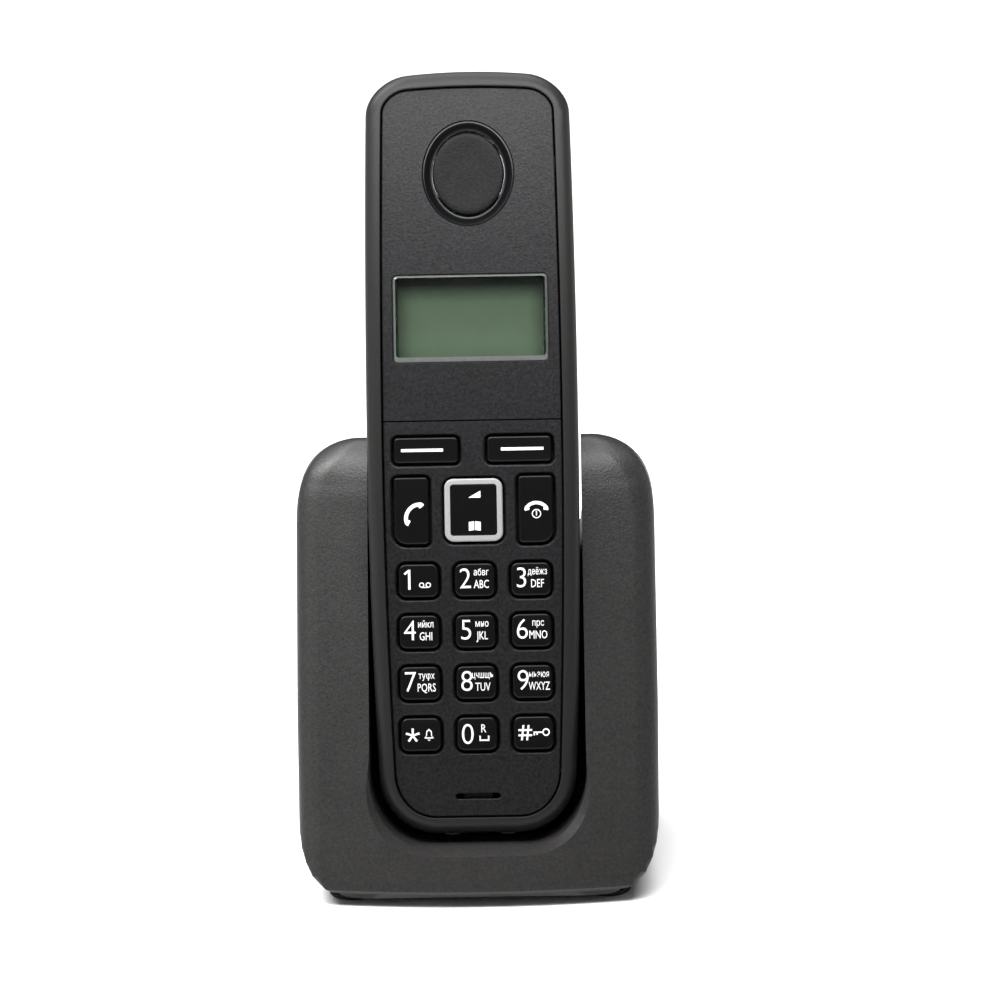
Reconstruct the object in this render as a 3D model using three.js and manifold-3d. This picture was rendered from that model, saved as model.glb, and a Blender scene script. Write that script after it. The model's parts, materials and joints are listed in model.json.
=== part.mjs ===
// Cordless phone standing in its charging base.
// Millimetres, +Z up, the face looks towards -Y and +X is on the right.
// The origin is under the middle of the whole object, on the surface it stands on.

import * as THREE from "three";
import { mergeVertices } from "three/addons/utils/BufferGeometryUtils.js";
import Module from "manifold-3d";

// ---------------------------------------------------------------- driving dimensions

const GAP = 0.3; // clearance between neighbouring pieces
const CURVE_STEPS = 4; // straight steps in a rounded corner
const ROUND_STEPS = 24; // straight steps round a cylinder

const HANDSET = {
  length: 161.5,
  width: 45,
  lean: THREE.MathUtils.degToRad(16), // backwards from upright
  widestAt: 85, // height of the widest place above the bottom end
  topNarrowing: 1.15,
  bottomNarrowing: 1.95,
  topCorner: { x: 9, z: 8.4 },
  bottomCorner: { x: 12, z: 13 },
  back: 24, // depth of the back behind the face
  wall: 1.8,
  split: 9, // depth of the seam between front frame and rear shell
};

const RIM = { width: 3.3, proud: 0.7, round: 2.6, lip: 2.2 };
const BACK_ROUND = 8; // rounding of the handset's rear edge
const PANEL = { thickness: 1.6, divider: 87.3 };
const EARPIECE = { height: 139.7, halfWidth: 9.95, halfHeight: 11.4, capHalfWidth: 7.6, capHalfHeight: 8.7 };
const DISPLAY = { height: 109, width: 33.4, tall: 19, corner: 1 };
const KEY = { front: -0.4, back: 2.9, moat: 0.55, edge: 0.35 };
const DIAL = { width: 8.4, tall: 7, corner: 1.5, columnPitch: 11.9, rowPitch: 10.85, topRow: 53.5 };
const SOFT_KEY = { width: 13.6, tall: 5.4, corner: 0.9, side: 9.9, height: 81.1 };
const CALL_KEY = { width: 7.3, tall: 14.2, corner: 0.9, lowerCorner: 3.4, side: 13.2, height: 68.3 };
const NAV_KEY = { width: 12.3, tall: 13.3, corner: 1.7, height: 68.3 };
const MIC_SLOT = { width: 9.4, tall: 1.2, height: 7.8 };

const POCKET = { halfWidth: 14.5, bottom: 65.6, top: 118.5, floor: 10.6, wall: 1.3 };
const CELL = { radius: 5.25, length: 44.5, side: 5.75, depth: 16.2, nubRadius: 2.4, nubLength: 1.2 };
const SPRING = { length: 6, wideRadius: 4.2, narrowRadius: 2.6 };
const CONTACT_SIDE = 6; // distance of each charging contact from the middle
const CONTACT_DEPTH = 12.5;
const SCREW = { headRadius: 2.5, headHeight: 1.8, shankRadius: 1.3, length: 9, driveRadius: 1.2, driveDepth: 0.9 };
const SCREW_BOSS = { side: 12, height: 24, radius: 4, seat: 20.6 };

const BASE = {
  width: 76.2,
  bottom: 1.3, // height of its underside above the surface, left by the feet
  wall: 2,
  frontLean: THREE.MathUtils.degToRad(25),
  crown: { y: 47.1, z: 81, radius: 9 }, // round top edge, measured from the toe
  rear: { y: 70, knee: 24 }, // upright rear wall up to the knee, sloping above it
  faceTop: 100.5, // top of the front outline, along the sloping face
  topCorner: { x: 14, z: 17 },
  bottomCorner: { x: 8, z: 15 },
  bulge: 3.5, // the face's middle stands this much in front of its sides
  seam: { rear: 4.5, bottom: 3.3 }, // how far the rear shell reaches in from the back and the bottom
};
const SEAT = { y: 11.2, z: 13.2 }; // the handset's bottom end, measured from the base's toe
const BAY = { halfWidth: 22.9, gap: 0.8, corner: { x: 12.5, z: 13.5 }, backDip: 60 };
const FLARE = { depth: 4.2, height: 12, width: 4.6 }; // the bay's mouth widens towards the front
const FOOT = { radius: 5, side: 27, front: 12, rear: 60, corner: 0.4 };
const SOCKET = { width: 12.6, tall: 11.6, length: 13.5, bottom: 7.4, side: 14, hole: { x: 9.6, z: 7, depth: 11 } };
const BASE_SCREW = { x: 30, y: 36, top: 12, block: { inner: 26, outer: 37, halfDeep: 4.5, top: 14 } };
const PAGE_KEY = { radius: 4.4, proud: 0.8, depth: 6.2, height: 46 };

const TOE_Y = -38.78; // the base's toe, so that the whole object is centred on the origin

// ---------------------------------------------------------------- solids

const wasm = await Module();
wasm.setup();
const MERGE_DISTANCE = 1e-4;
const FAR = 200; // long enough to cut right through anything here

function solidOf(geometry) {
  const bare = geometry.clone();
  bare.deleteAttribute("normal");
  bare.deleteAttribute("uv");
  const merged = mergeVertices(bare, MERGE_DISTANCE);
  const mesh = new wasm.Mesh({
    numProp: 3,
    vertProperties: new Float32Array(merged.attributes.position.array),
    triVerts: new Uint32Array(merged.index.array),
  });
  return new wasm.Manifold(mesh);
}

function geometryOf(solid) {
  const mesh = solid.getMesh();
  const geometry = new THREE.BufferGeometry();
  geometry.setAttribute("position", new THREE.BufferAttribute(new Float32Array(mesh.vertProperties), 3));
  geometry.setIndex(new THREE.BufferAttribute(new Uint32Array(mesh.triVerts), 1));
  geometry.computeVertexNormals();
  return geometry;
}

function cut(body, ...tools) {
  return geometryOf(tools.reduce((rest, tool) => rest.subtract(solidOf(tool)), solidOf(body)));
}

function join(body, ...others) {
  return geometryOf(others.reduce((whole, other) => whole.add(solidOf(other)), solidOf(body)));
}

function common(body, ...others) {
  return geometryOf(others.reduce((rest, other) => rest.intersect(solidOf(other)), solidOf(body)));
}

/** A box given by its two opposite corners. */
function boxBetween([x0, y0, z0], [x1, y1, z1]) {
  const box = new THREE.BoxGeometry(x1 - x0, y1 - y0, z1 - z0);
  return box.translate((x0 + x1) / 2, (y0 + y1) / 2, (z0 + z1) / 2);
}

/** A cylinder whose axis runs along y, from depth `front` to depth `back`. */
function rodAlongDepth(radius, front, back, x = 0, z = 0) {
  const rod = new THREE.CylinderGeometry(radius, radius, back - front, ROUND_STEPS);
  return rod.translate(x, (front + back) / 2, z);
}

/** A closed outline through [x, y, cut] corners, each rounded off from `cut` away on both sides. */
function roundedOutline(corners) {
  const points = corners.map(([x, y]) => new THREE.Vector2(x, y));
  const shape = new THREE.Shape();
  corners.forEach(([, , trim = 0], i) => {
    const here = points[i];
    const before = points.at(i - 1);
    const after = points[(i + 1) % points.length];
    const start = here.clone().add(before.clone().sub(here).setLength(trim));
    const end = here.clone().add(after.clone().sub(here).setLength(trim));
    if (i === 0) shape.moveTo(start.x, start.y);
    else shape.lineTo(start.x, start.y);
    if (trim > 0) shape.quadraticCurveTo(here.x, here.y, end.x, end.y);
  });
  shape.closePath();
  return shape;
}

/** A rectangle centred on (x, z), with its corners rounded. */
function roundedRectangle(width, tall, corner, x = 0, z = 0) {
  const [w, h] = [width / 2, tall / 2];
  return roundedOutline([
    [x - w, z - h, corner],
    [x + w, z - h, corner],
    [x + w, z + h, corner],
    [x - w, z + h, corner],
  ]);
}

function oval(halfWidth, halfHeight, z) {
  const points = Array.from({ length: ROUND_STEPS }, (_, i) => {
    const angle = (i / ROUND_STEPS) * 2 * Math.PI;
    return [halfWidth * Math.cos(angle), z + halfHeight * Math.sin(angle)];
  });
  return roundedOutline(points);
}

/** Points on a quarter of an ellipse, from `start` radians, anticlockwise. */
function quarterArc(centreX, centreZ, radiusX, radiusZ, start) {
  const steps = Array.from({ length: CURVE_STEPS + 1 }, (_, i) => start + (i / CURVE_STEPS) * (Math.PI / 2));
  return steps.map((angle) => [centreX + radiusX * Math.cos(angle), centreZ + radiusZ * Math.sin(angle)]);
}

/** Extrudes an x-z outline along y, from depth `front` to depth `back`, with both edges rounded. */
function plate(outline, front, back, round = 0, roundSteps = 3) {
  const geometry = new THREE.ExtrudeGeometry(outline, {
    depth: back - front - 2 * round,
    curveSegments: CURVE_STEPS,
    bevelEnabled: round > 0,
    bevelThickness: round,
    bevelSize: round,
    bevelOffset: -round,
    bevelSegments: roundSteps,
  });
  geometry.rotateX(Math.PI / 2);
  return geometry.translate(0, back - round, 0);
}

/** Mirrors a right-hand run of [x, z] points, from bottom to top, into a closed outline. */
function mirroredOutline(rightHalf) {
  const leftHalf = rightHalf.map(([x, z]) => [-x, z]).reverse();
  return roundedOutline([...rightHalf, ...leftHalf]);
}

// ---------------------------------------------------------------- materials

const FINISH = {
  satinGrey: { color: 0x3b3938, roughness: 0.5, metalness: 0 },
  basePlastic: { color: 0x434140, roughness: 0.5, metalness: 0 },
  charcoal: { color: 0x323235, roughness: 0.6, metalness: 0 },
  keyBlack: { color: 0x151516, roughness: 0.45, metalness: 0 },
  whitePrint: { color: 0xdedfdf, roughness: 0.4, metalness: 0 },
  glossBlack: { color: 0x101012, roughness: 0.15, metalness: 0 },
  clearLens: { color: 0xb9c4bd, roughness: 0.05, metalness: 0 },
  displayGrey: { color: 0x64765f, roughness: 0.3, metalness: 0 },
  innerWhite: { color: 0xc9cac6, roughness: 0.6, metalness: 0 },
  rubber: { color: 0x26262a, roughness: 0.9, metalness: 0 },
  board: { color: 0x2c5a3a, roughness: 0.55, metalness: 0 },
  steel: { color: 0xa5a7aa, roughness: 0.35, metalness: 1 },
  contact: { color: 0xc7b782, roughness: 0.3, metalness: 1 },
  cellWrap: { color: 0x4b8a57, roughness: 0.4, metalness: 0 },
};

function piece(name, geometry, finish) {
  const mesh = new THREE.Mesh(geometry, new THREE.MeshStandardMaterial(FINISH[finish]));
  mesh.name = name;
  return mesh;
}

const SIDES = [["left", -1], ["right", 1]];

// ---------------------------------------------------------------- handset casing

/** Half of the handset's width at a height above its bottom end: a barrel, widest in the middle. */
function handsetSide(z) {
  const away = z - HANDSET.widestAt;
  const narrowing = away > 0 ? HANDSET.topNarrowing : HANDSET.bottomNarrowing;
  return HANDSET.width / 2 - narrowing * (away / (HANDSET.length / 2)) ** 2;
}

/** The handset seen from the front, drawn in by `inset` all round. */
function handsetOutline(inset = 0) {
  const { bottomCorner: low, topCorner: high, length } = HANDSET;
  const lowHeight = low.z;
  const highHeight = length - high.z;
  const sideSteps = 5;
  const side = Array.from({ length: sideSteps }, (_, i) => {
    const z = lowHeight + ((i + 1) / (sideSteps + 1)) * (highHeight - lowHeight);
    return [handsetSide(z) - inset, z];
  });
  return mirroredOutline([
    ...quarterArc(handsetSide(lowHeight) - low.x, lowHeight, low.x - inset, low.z - inset, -Math.PI / 2),
    ...side,
    ...quarterArc(handsetSide(highHeight) - high.x, highHeight, high.x - inset, high.z - inset, 0),
  ]);
}

function frontFrame() {
  const { split, wall } = HANDSET;
  const outside = plate(handsetOutline(), -RIM.proud, FAR, RIM.round);
  const frontHalf = boxBetween([-FAR, -FAR, -FAR], [FAR, split, FAR]);
  const opening = plate(handsetOutline(RIM.width), -FAR, FAR);
  const inside = plate(handsetOutline(wall), RIM.lip, FAR);
  return piece("handset_front_frame", cut(common(outside, frontHalf), opening, inside), "satinGrey");
}

/** The casing screws' places, as [name, x]. */
const screwPlaces = SIDES.map(([side, sign]) => [side, sign * SCREW_BOSS.side]);

function rearShell() {
  const { split, wall, back } = HANDSET;
  const front = split + GAP;
  const rearHalf = boxBetween([-FAR, front, -FAR], [FAR, FAR, FAR]);
  const outside = common(plate(handsetOutline(), -FAR, back, BACK_ROUND), rearHalf);
  const inside = plate(handsetOutline(wall), -FAR, back - wall, BACK_ROUND - wall);
  const pocketWalls = boxBetween(
    [-POCKET.halfWidth - POCKET.wall, front, POCKET.bottom - POCKET.wall],
    [POCKET.halfWidth + POCKET.wall, back - wall / 2, POCKET.top + POCKET.wall],
  );
  const pocket = boxBetween(
    [-POCKET.halfWidth, POCKET.floor, POCKET.bottom],
    [POCKET.halfWidth, FAR, POCKET.top],
  );
  const bosses = screwPlaces.map(([, x]) =>
    rodAlongDepth(SCREW_BOSS.radius, front, back - wall / 2, x, SCREW_BOSS.height));
  const screwHoles = screwPlaces.map(([, x]) =>
    rodAlongDepth(SCREW.shankRadius + GAP, -FAR, FAR, x, SCREW_BOSS.height));
  const headHoles = screwPlaces.map(([, x]) =>
    rodAlongDepth(SCREW.headRadius + GAP, SCREW_BOSS.seat, FAR, x, SCREW_BOSS.height));
  const contactHoles = SIDES.map(([, sign]) => chargeContactBox(sign, GAP, wall));
  const shell = join(cut(outside, inside), pocketWalls, ...bosses);
  return piece("handset_rear_shell", cut(shell, pocket, ...screwHoles, ...headHoles, ...contactHoles), "satinGrey");
}

const CHARGE_CONTACT = { width: 5, deep: 4, tall: 2.4 };

/** The block that a charging contact fills in the bottom end, grown by `grow` sideways. */
function chargeContactBox(sign, grow = 0, reach = 0) {
  const x = sign * CONTACT_SIDE;
  const [halfWidth, halfDeep] = [CHARGE_CONTACT.width / 2 + grow, CHARGE_CONTACT.deep / 2 + grow];
  return boxBetween(
    [x - halfWidth, CONTACT_DEPTH - halfDeep, -reach],
    [x + halfWidth, CONTACT_DEPTH + halfDeep, CHARGE_CONTACT.tall + reach],
  );
}

function batteryCover() {
  const { back } = HANDSET;
  const coverThickness = 1.7;
  const outline = roundedRectangle(
    2 * (POCKET.halfWidth - GAP),
    POCKET.top - POCKET.bottom - 2 * GAP,
    1.2,
    0,
    (POCKET.top + POCKET.bottom) / 2,
  );
  const thumbNotch = plate(oval(5, 1.6, POCKET.top - 4), back - 0.6, FAR);
  return piece("battery_cover", cut(plate(outline, back - coverThickness, back, 0.3, 1), thumbNotch), "satinGrey");
}

/** A machine screw along y, its head towards the back. */
function screwGeometry() {
  const { headRadius, headHeight, shankRadius, length, driveRadius, driveDepth } = SCREW;
  const profile = [
    [0, 0],
    [shankRadius, 0],
    [shankRadius, length - headHeight],
    [headRadius, length - headHeight],
    [headRadius, length],
    [driveRadius, length],
    [driveRadius, length - driveDepth],
    [0, length - driveDepth],
  ];
  return new THREE.LatheGeometry(profile.map(([r, y]) => new THREE.Vector2(r, y)), ROUND_STEPS / 2);
}

function casingScrews() {
  return screwPlaces.map(([side, x]) => {
    const screw = piece(`handset_screw_${side}`, screwGeometry(), "steel");
    screw.position.set(x, SCREW_BOSS.seat + GAP + SCREW.headHeight - SCREW.length, SCREW_BOSS.height);
    return screw;
  });
}

// ---------------------------------------------------------------- handset face

function displayPanel() {
  const sheet = plate(handsetOutline(RIM.width + GAP), 0, PANEL.thickness);
  const above = boxBetween([-FAR, -FAR, PANEL.divider + GAP / 2], [FAR, FAR, FAR]);
  const earHole = plate(oval(EARPIECE.halfWidth, EARPIECE.halfHeight, EARPIECE.height), -FAR, FAR);
  const windowHole = plate(
    roundedRectangle(DISPLAY.width, DISPLAY.tall, DISPLAY.corner, 0, DISPLAY.height), -FAR, FAR);
  return piece("display_panel", cut(common(sheet, above), earHole, windowHole), "charcoal");
}

function keypadPanel() {
  const sheet = plate(handsetOutline(RIM.width + GAP), 0, PANEL.thickness);
  const below = boxBetween([-FAR, -FAR, -FAR], [FAR, FAR, PANEL.divider - GAP / 2]);
  const keyHoles = keyList().map((key) => plate(key.outline(KEY.moat), -FAR, FAR));
  const micHole = plate(
    roundedRectangle(MIC_SLOT.width, MIC_SLOT.tall, 0.5, 0, MIC_SLOT.height), -FAR, FAR);
  return piece("keypad_panel", cut(common(sheet, below), ...keyHoles, micHole), "charcoal");
}

function earpiece() {
  const { height, halfWidth, halfHeight, capHalfWidth, capHalfHeight } = EARPIECE;
  const ringFront = 1;
  const ringBack = 2.4;
  const ring = cut(
    plate(oval(halfWidth - GAP, halfHeight - GAP, height), ringFront, ringBack),
    plate(oval(capHalfWidth + GAP, capHalfHeight + GAP, height), -FAR, FAR),
  );
  const cap = plate(oval(capHalfWidth, capHalfHeight, height), 0.2, 2, 0.4, 1);
  const speaker = rodAlongDepth(8, 2.8, 6, 0, height);
  return [
    piece("earpiece_ring", ring, "glossBlack"),
    piece("earpiece_cap", cap, "charcoal"),
    piece("earpiece_speaker", speaker, "steel"),
  ];
}

function display() {
  const { height, width, tall, corner } = DISPLAY;
  const lens = roundedRectangle(width - 2 * GAP, tall - 2 * GAP, corner, 0, height);
  const glass = { width: 31.2, tall: 18.4, front: 2.4, back: 4 };
  const holder = { border: 3, front: 1.9, back: 4.6 };
  const holderRing = cut(
    plate(roundedRectangle(glass.width + 2 * holder.border, glass.tall + 2 * holder.border, 1, 0, height),
      holder.front, holder.back),
    plate(roundedRectangle(glass.width + 2 * GAP, glass.tall + 2 * GAP, 0.4, 0, height), -FAR, FAR),
  );
  const glassSheet = plate(roundedRectangle(glass.width, glass.tall, 0.4, 0, height), glass.front, glass.back);
  return [
    piece("display_window", plate(lens, -0.15, 1.3, 0.35, 1), "clearLens"),
    piece("lcd_module", glassSheet, "displayGrey"),
    piece("lcd_holder", holderRing, "innerWhite"),
  ];
}

// ---------------------------------------------------------------- keys

/** A rectangular key: `outline(grow)` draws it larger by `grow` all round. */
function rectangularKey(name, size, x, z) {
  const outline = (grow = 0) =>
    roundedRectangle(size.width + 2 * grow, size.tall + 2 * grow, size.corner + grow, x, z);
  return { name, outline };
}

/** The talk or end key, whose lower outer corner is rounder than the others. */
function callKey(name, sign) {
  const { width, tall, corner, lowerCorner, side, height } = CALL_KEY;
  const outline = (grow = 0) => {
    const [w, h, x] = [width / 2 + grow, tall / 2 + grow, sign * side];
    const [lowerLeft, lowerRight] = sign < 0 ? [lowerCorner, corner] : [corner, lowerCorner];
    return roundedOutline([
      [x - w, height - h, lowerLeft + grow],
      [x + w, height - h, lowerRight + grow],
      [x + w, height + h, corner + grow],
      [x - w, height + h, corner + grow],
    ]);
  };
  return { name, outline };
}

const DIAL_ROWS = [
  ["key_1", "key_2", "key_3"],
  ["key_4", "key_5", "key_6"],
  ["key_7", "key_8", "key_9"],
  ["key_star", "key_0", "key_hash"],
];

function keyList() {
  const dialKeys = DIAL_ROWS.flatMap((names, row) =>
    names.map((name, column) => {
      const x = (column - 1) * DIAL.columnPitch;
      return rectangularKey(name, DIAL, x, DIAL.topRow - row * DIAL.rowPitch);
    }));
  return [
    ...dialKeys,
    ...SIDES.map(([side, sign]) =>
      rectangularKey(`soft_key_${side}`, SOFT_KEY, sign * SOFT_KEY.side, SOFT_KEY.height)),
    callKey("talk_key", -1),
    callKey("end_key", 1),
    rectangularKey("nav_key", NAV_KEY, 0, NAV_KEY.height),
  ];
}

function keys() {
  return keyList().map(({ name, outline }) =>
    piece(name, plate(outline(), KEY.front, KEY.back, KEY.edge, 1), name === "nav_key" ? "whitePrint" : "keyBlack"));
}

// ---------------------------------------------------------------- handset inside

function handsetElectronics() {
  const board = { halfWidth: 18.4, bottom: 12, top: 145, front: 6.4, back: 7.6 };
  const mat = roundedRectangle(38, 73, 3, 0, 49.5);
  const boardOutline = roundedRectangle(
    2 * board.halfWidth, board.top - board.bottom, 2, 0, (board.top + board.bottom) / 2);
  const ringer = { height: 46, radius: 11, front: 13, back: 19 };
  return [
    piece("key_mat", plate(mat, 3.7, 6.1), "rubber"),
    piece("handset_board", plate(boardOutline, board.front, board.back), "board"),
    piece("handset_antenna", boxBetween([-12, board.front, board.top + 1.5], [12, board.back, 153.5]), "contact"),
    piece("microphone", rodAlongDepth(3, 2.1, 5.6, 0, MIC_SLOT.height), "steel"),
    piece("ringer_speaker", rodAlongDepth(ringer.radius, ringer.front, ringer.back, 0, ringer.height), "steel"),
    ...SIDES.map(([side, sign]) => piece(`charge_contact_${side}`, chargeContactBox(sign), "contact")),
  ];
}

/** A dry cell standing on z = 0 with its nub on top. */
function cellGeometry() {
  const { radius, length, nubRadius, nubLength } = CELL;
  const shoulder = length - nubLength;
  const profile = [[0, 0], [radius, 0], [radius, shoulder], [nubRadius, shoulder], [nubRadius, length], [0, length]];
  const lathe = new THREE.LatheGeometry(profile.map(([r, z]) => new THREE.Vector2(r, z)), ROUND_STEPS);
  return lathe.rotateX(Math.PI / 2);
}

/** Two cells lying nose to tail, each between a spring and a plate. */
function battery() {
  const plateSize = 8;
  const plateThickness = 0.8;
  const springBody = new THREE.CylinderGeometry(
    SPRING.narrowRadius, SPRING.wideRadius, SPRING.length, ROUND_STEPS / 2);
  springBody.rotateX(Math.PI / 2).translate(0, 0, SPRING.length / 2);
  const plateBody = boxBetween([-plateSize / 2, -plateSize / 2, 0], [plateSize / 2, plateSize / 2, plateThickness]);
  return SIDES.map(([side, sign]) => {
    const column = new THREE.Group();
    const cell = piece(`battery_cell_${side}`, cellGeometry(), "cellWrap");
    const spring = piece(`battery_spring_${side}`, springBody, "steel");
    const contact = piece(`battery_plate_${side}`, plateBody, "contact");
    spring.position.z = GAP;
    cell.position.z = spring.position.z + SPRING.length + GAP;
    contact.position.z = cell.position.z + CELL.length + GAP;
    column.add(spring, cell, contact);
    column.position.set(sign * CELL.side, CELL.depth, sign < 0 ? POCKET.bottom : POCKET.top);
    if (sign > 0) column.rotation.x = Math.PI;
    return column;
  });
}

function handset() {
  const group = new THREE.Group();
  group.add(
    frontFrame(), rearShell(), batteryCover(), ...casingScrews(),
    displayPanel(), keypadPanel(), ...earpiece(), ...display(),
    ...keys(), ...handsetElectronics(), ...battery(),
  );
  group.rotation.x = -HANDSET.lean;
  group.position.set(0, TOE_Y + SEAT.y, SEAT.z);
  return group;
}

// ---------------------------------------------------------------- base casing

/** Moves a shape drawn in the handset's own frame to its place over the base's toe. */
function inHandsetFrame(geometry) {
  return geometry.rotateX(-HANDSET.lean).translate(0, SEAT.y, SEAT.z);
}

/** Moves a shape drawn on the upright x-z plane onto the base's sloping face. */
function onSlopingFace(geometry) {
  return geometry.rotateX(-BASE.frontLean).translate(0, 0, BASE.bottom);
}

/** The lean of the rear slope, which runs from the knee up to the round crown. */
const REAR_LEAN = (() => {
  const { crown, rear } = BASE;
  const away = { y: rear.y - crown.y, z: crown.z - rear.knee };
  return Math.atan2(away.y, away.z) - Math.asin(crown.radius / Math.hypot(away.y, away.z));
})();

/** The base seen from its side, as a y-z outline drawn in by its own inset at the front, rear and bottom. */
function sideProfile(inset, rearInset = inset, bottomInset = inset) {
  const { crown, rear, frontLean, bottom } = BASE;
  const floor = bottom + bottomInset;
  const frontRadius = crown.radius - inset;
  const rearRadius = crown.radius - rearInset;
  const back = rear.y - rearInset;
  const toe = crown.y + (-frontRadius + (floor - crown.z) * Math.sin(frontLean)) / Math.cos(frontLean);
  const knee = crown.z + (rearRadius - (back - crown.y) * Math.cos(REAR_LEAN)) / Math.sin(REAR_LEAN);
  const startAngle = REAR_LEAN;
  const endAngle = Math.PI - frontLean;
  const steps = 8;
  const crownArc = Array.from({ length: steps + 1 }, (_, i) => {
    const share = i / steps;
    const angle = startAngle + share * (endAngle - startAngle);
    const radius = rearRadius + share * (frontRadius - rearRadius);
    return [crown.y + radius * Math.cos(angle), crown.z + radius * Math.sin(angle)];
  });
  return roundedOutline([[toe, floor, 3], [back, floor, 3], [back, knee, 6], ...crownArc]);
}

/** Extrudes a y-z outline across the whole width. */
function acrossWidth(outline) {
  const slab = new THREE.ExtrudeGeometry(outline, { depth: FAR, bevelEnabled: false, curveSegments: CURVE_STEPS });
  return slab.translate(0, 0, -FAR / 2).rotateX(Math.PI / 2).rotateZ(Math.PI / 2);
}

/** The base seen square to its face: straight sides, round shoulders and rounded lower corners. */
function faceOutline(inset) {
  const { width, faceTop, topCorner: high, bottomCorner: low } = BASE;
  const half = width / 2;
  return mirroredOutline([
    ...quarterArc(half - low.x, low.z, low.x - inset, low.z - inset, -Math.PI / 2),
    ...quarterArc(half - high.x, faceTop - high.z, high.x - inset, high.z - inset, 0),
  ]);
}

/** The base cut across its sloping face: a gently bulging front between rounded edges. */
function crossOutline(inset) {
  const half = BASE.width / 2 - inset;
  const steps = 8;
  const front = Array.from({ length: steps + 1 }, (_, i) => {
    const x = half * ((2 * i) / steps - 1);
    const edge = i === 0 || i === steps;
    return [x, inset + BASE.bulge * (x / half) ** 2, edge ? 3.5 : 0];
  });
  return roundedOutline([...front, [half, FAR], [-half, FAR]]);
}

/** The base seen from above, with round rear corners. */
function planOutline(inset) {
  const half = BASE.width / 2 - inset;
  const rearCorner = 12;
  return roundedOutline([
    [-half, -FAR],
    [half, -FAR],
    [half, BASE.rear.y - inset, rearCorner],
    [-half, BASE.rear.y - inset, rearCorner],
  ]);
}

/** The base's whole outer form, drawn in by `inset`, and by `bottomInset` underneath. */
function baseForm(inset, bottomInset = inset) {
  const straight = { depth: 2 * FAR, bevelEnabled: false, curveSegments: CURVE_STEPS };
  const face = onSlopingFace(plate(faceOutline(inset), -FAR, FAR));
  const cross = onSlopingFace(new THREE.ExtrudeGeometry(crossOutline(inset), straight).translate(0, 0, -FAR));
  const plan = new THREE.ExtrudeGeometry(planOutline(inset), straight).translate(0, 0, -FAR);
  return common(acrossWidth(sideProfile(inset, inset, bottomInset)), face, cross, plan);
}

/** The U-shaped room that the handset stands in, grown by `grow`, with a flared mouth. */
function bayRoom(grow) {
  const { halfWidth, gap, corner } = BAY;
  const outline = (widen) => {
    const half = halfWidth + grow;
    const low = -gap - grow;
    const arc = quarterArc(half - corner.x, low + corner.z, corner.x, corner.z, -Math.PI / 2);
    return mirroredOutline([...arc.map(([x, z]) => [x + widen, z]), [half + widen, FAR]]);
  };
  const back = HANDSET.back + gap + grow;
  const room = plate(outline(0), -FAR, back, BACK_ROUND);
  const mouth = new THREE.ExtrudeGeometry(outline(0), {
    depth: FAR,
    curveSegments: CURVE_STEPS,
    bevelThickness: FLARE.height,
    bevelSize: FLARE.width,
    bevelSegments: 1,
  });
  mouth.rotateX(Math.PI / 2).translate(0, FLARE.depth - FLARE.height, 0);
  const dip = plate(roundedOutline([
    [-halfWidth - grow, BAY.backDip - grow, 8],
    [halfWidth + grow, BAY.backDip - grow, 8],
    [halfWidth + grow, FAR],
    [-halfWidth - grow, FAR],
  ]), 0, FAR);
  return inHandsetFrame(join(room, mouth, dip));
}

const CRADLE_CONTACT = { width: 3, deep: 2, top: -0.35, bottom: -4.4 };

function cradleContactBox(sign, grow = 0, reach = 0) {
  const x = sign * CONTACT_SIDE;
  const { width, deep, top, bottom } = CRADLE_CONTACT;
  const box = boxBetween(
    [x - width / 2 - grow, CONTACT_DEPTH - deep / 2 - grow, bottom - reach],
    [x + width / 2 + grow, CONTACT_DEPTH + deep / 2 + grow, top + reach],
  );
  return inHandsetFrame(box);
}

/** A block beside each base screw, from height `low` to height `high`. */
function screwBlocks(low, high) {
  const { inner, outer, halfDeep } = BASE_SCREW.block;
  return SIDES.map(([, sign]) => {
    const [x0, x1] = [sign * inner, sign * outer].sort((a, b) => a - b);
    return boxBetween([x0, BASE_SCREW.y - halfDeep, low], [x1, BASE_SCREW.y + halfDeep, high]);
  });
}

/** An upright bore at each base screw, up to height `top`. */
function screwBores(radius, top) {
  return SIDES.map(([, sign]) => {
    const bore = new THREE.CylinderGeometry(radius + GAP, radius + GAP, 2 * top, ROUND_STEPS);
    return bore.rotateX(Math.PI / 2).translate(sign * BASE_SCREW.x, BASE_SCREW.y, 0);
  });
}

/** The hollow casing before it is parted into its two shells. */
function wholeCasing() {
  const hollow = cut(baseForm(BASE.wall), bayRoom(BASE.wall), ...screwBlocks(0, BASE_SCREW.block.top));
  const contactSlots = SIDES.map(([, sign]) => cradleContactBox(sign, 0.4, 3));
  return cut(baseForm(0), hollow, bayRoom(0), ...contactSlots, ...screwBores(SCREW.shankRadius, BASE_SCREW.top));
}

/** A block across the width that holds all of the base above and in front of the seam. */
function frontOfSeam(extra = 0) {
  return acrossWidth(sideProfile(-FAR / 4, BASE.seam.rear + extra, BASE.seam.bottom + extra));
}

/** The low skirt that runs outside the bottom plate at the front and sides. */
function skirt(extra = 0) {
  const ahead = boxBetween([-FAR, -FAR, -FAR], [FAR, BASE.rear.y - BASE.seam.rear - extra, BASE.rear.knee / 2]);
  return cut(ahead, baseForm(BASE.wall + GAP - extra, -BASE.wall));
}

function baseFeet() {
  const rows = [["front", FOOT.front], ["rear", FOOT.rear]];
  return rows.flatMap(([row, y]) => SIDES.map(([side, sign]) => {
    const height = BASE.bottom - GAP;
    const disc = new THREE.CylinderGeometry(FOOT.radius, FOOT.radius - FOOT.corner, height, ROUND_STEPS);
    disc.rotateX(Math.PI / 2);
    const foot = piece(`foot_${row}_${side}`, disc, "rubber");
    foot.position.set(sign * FOOT.side, y, height / 2);
    return foot;
  }));
}

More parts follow.
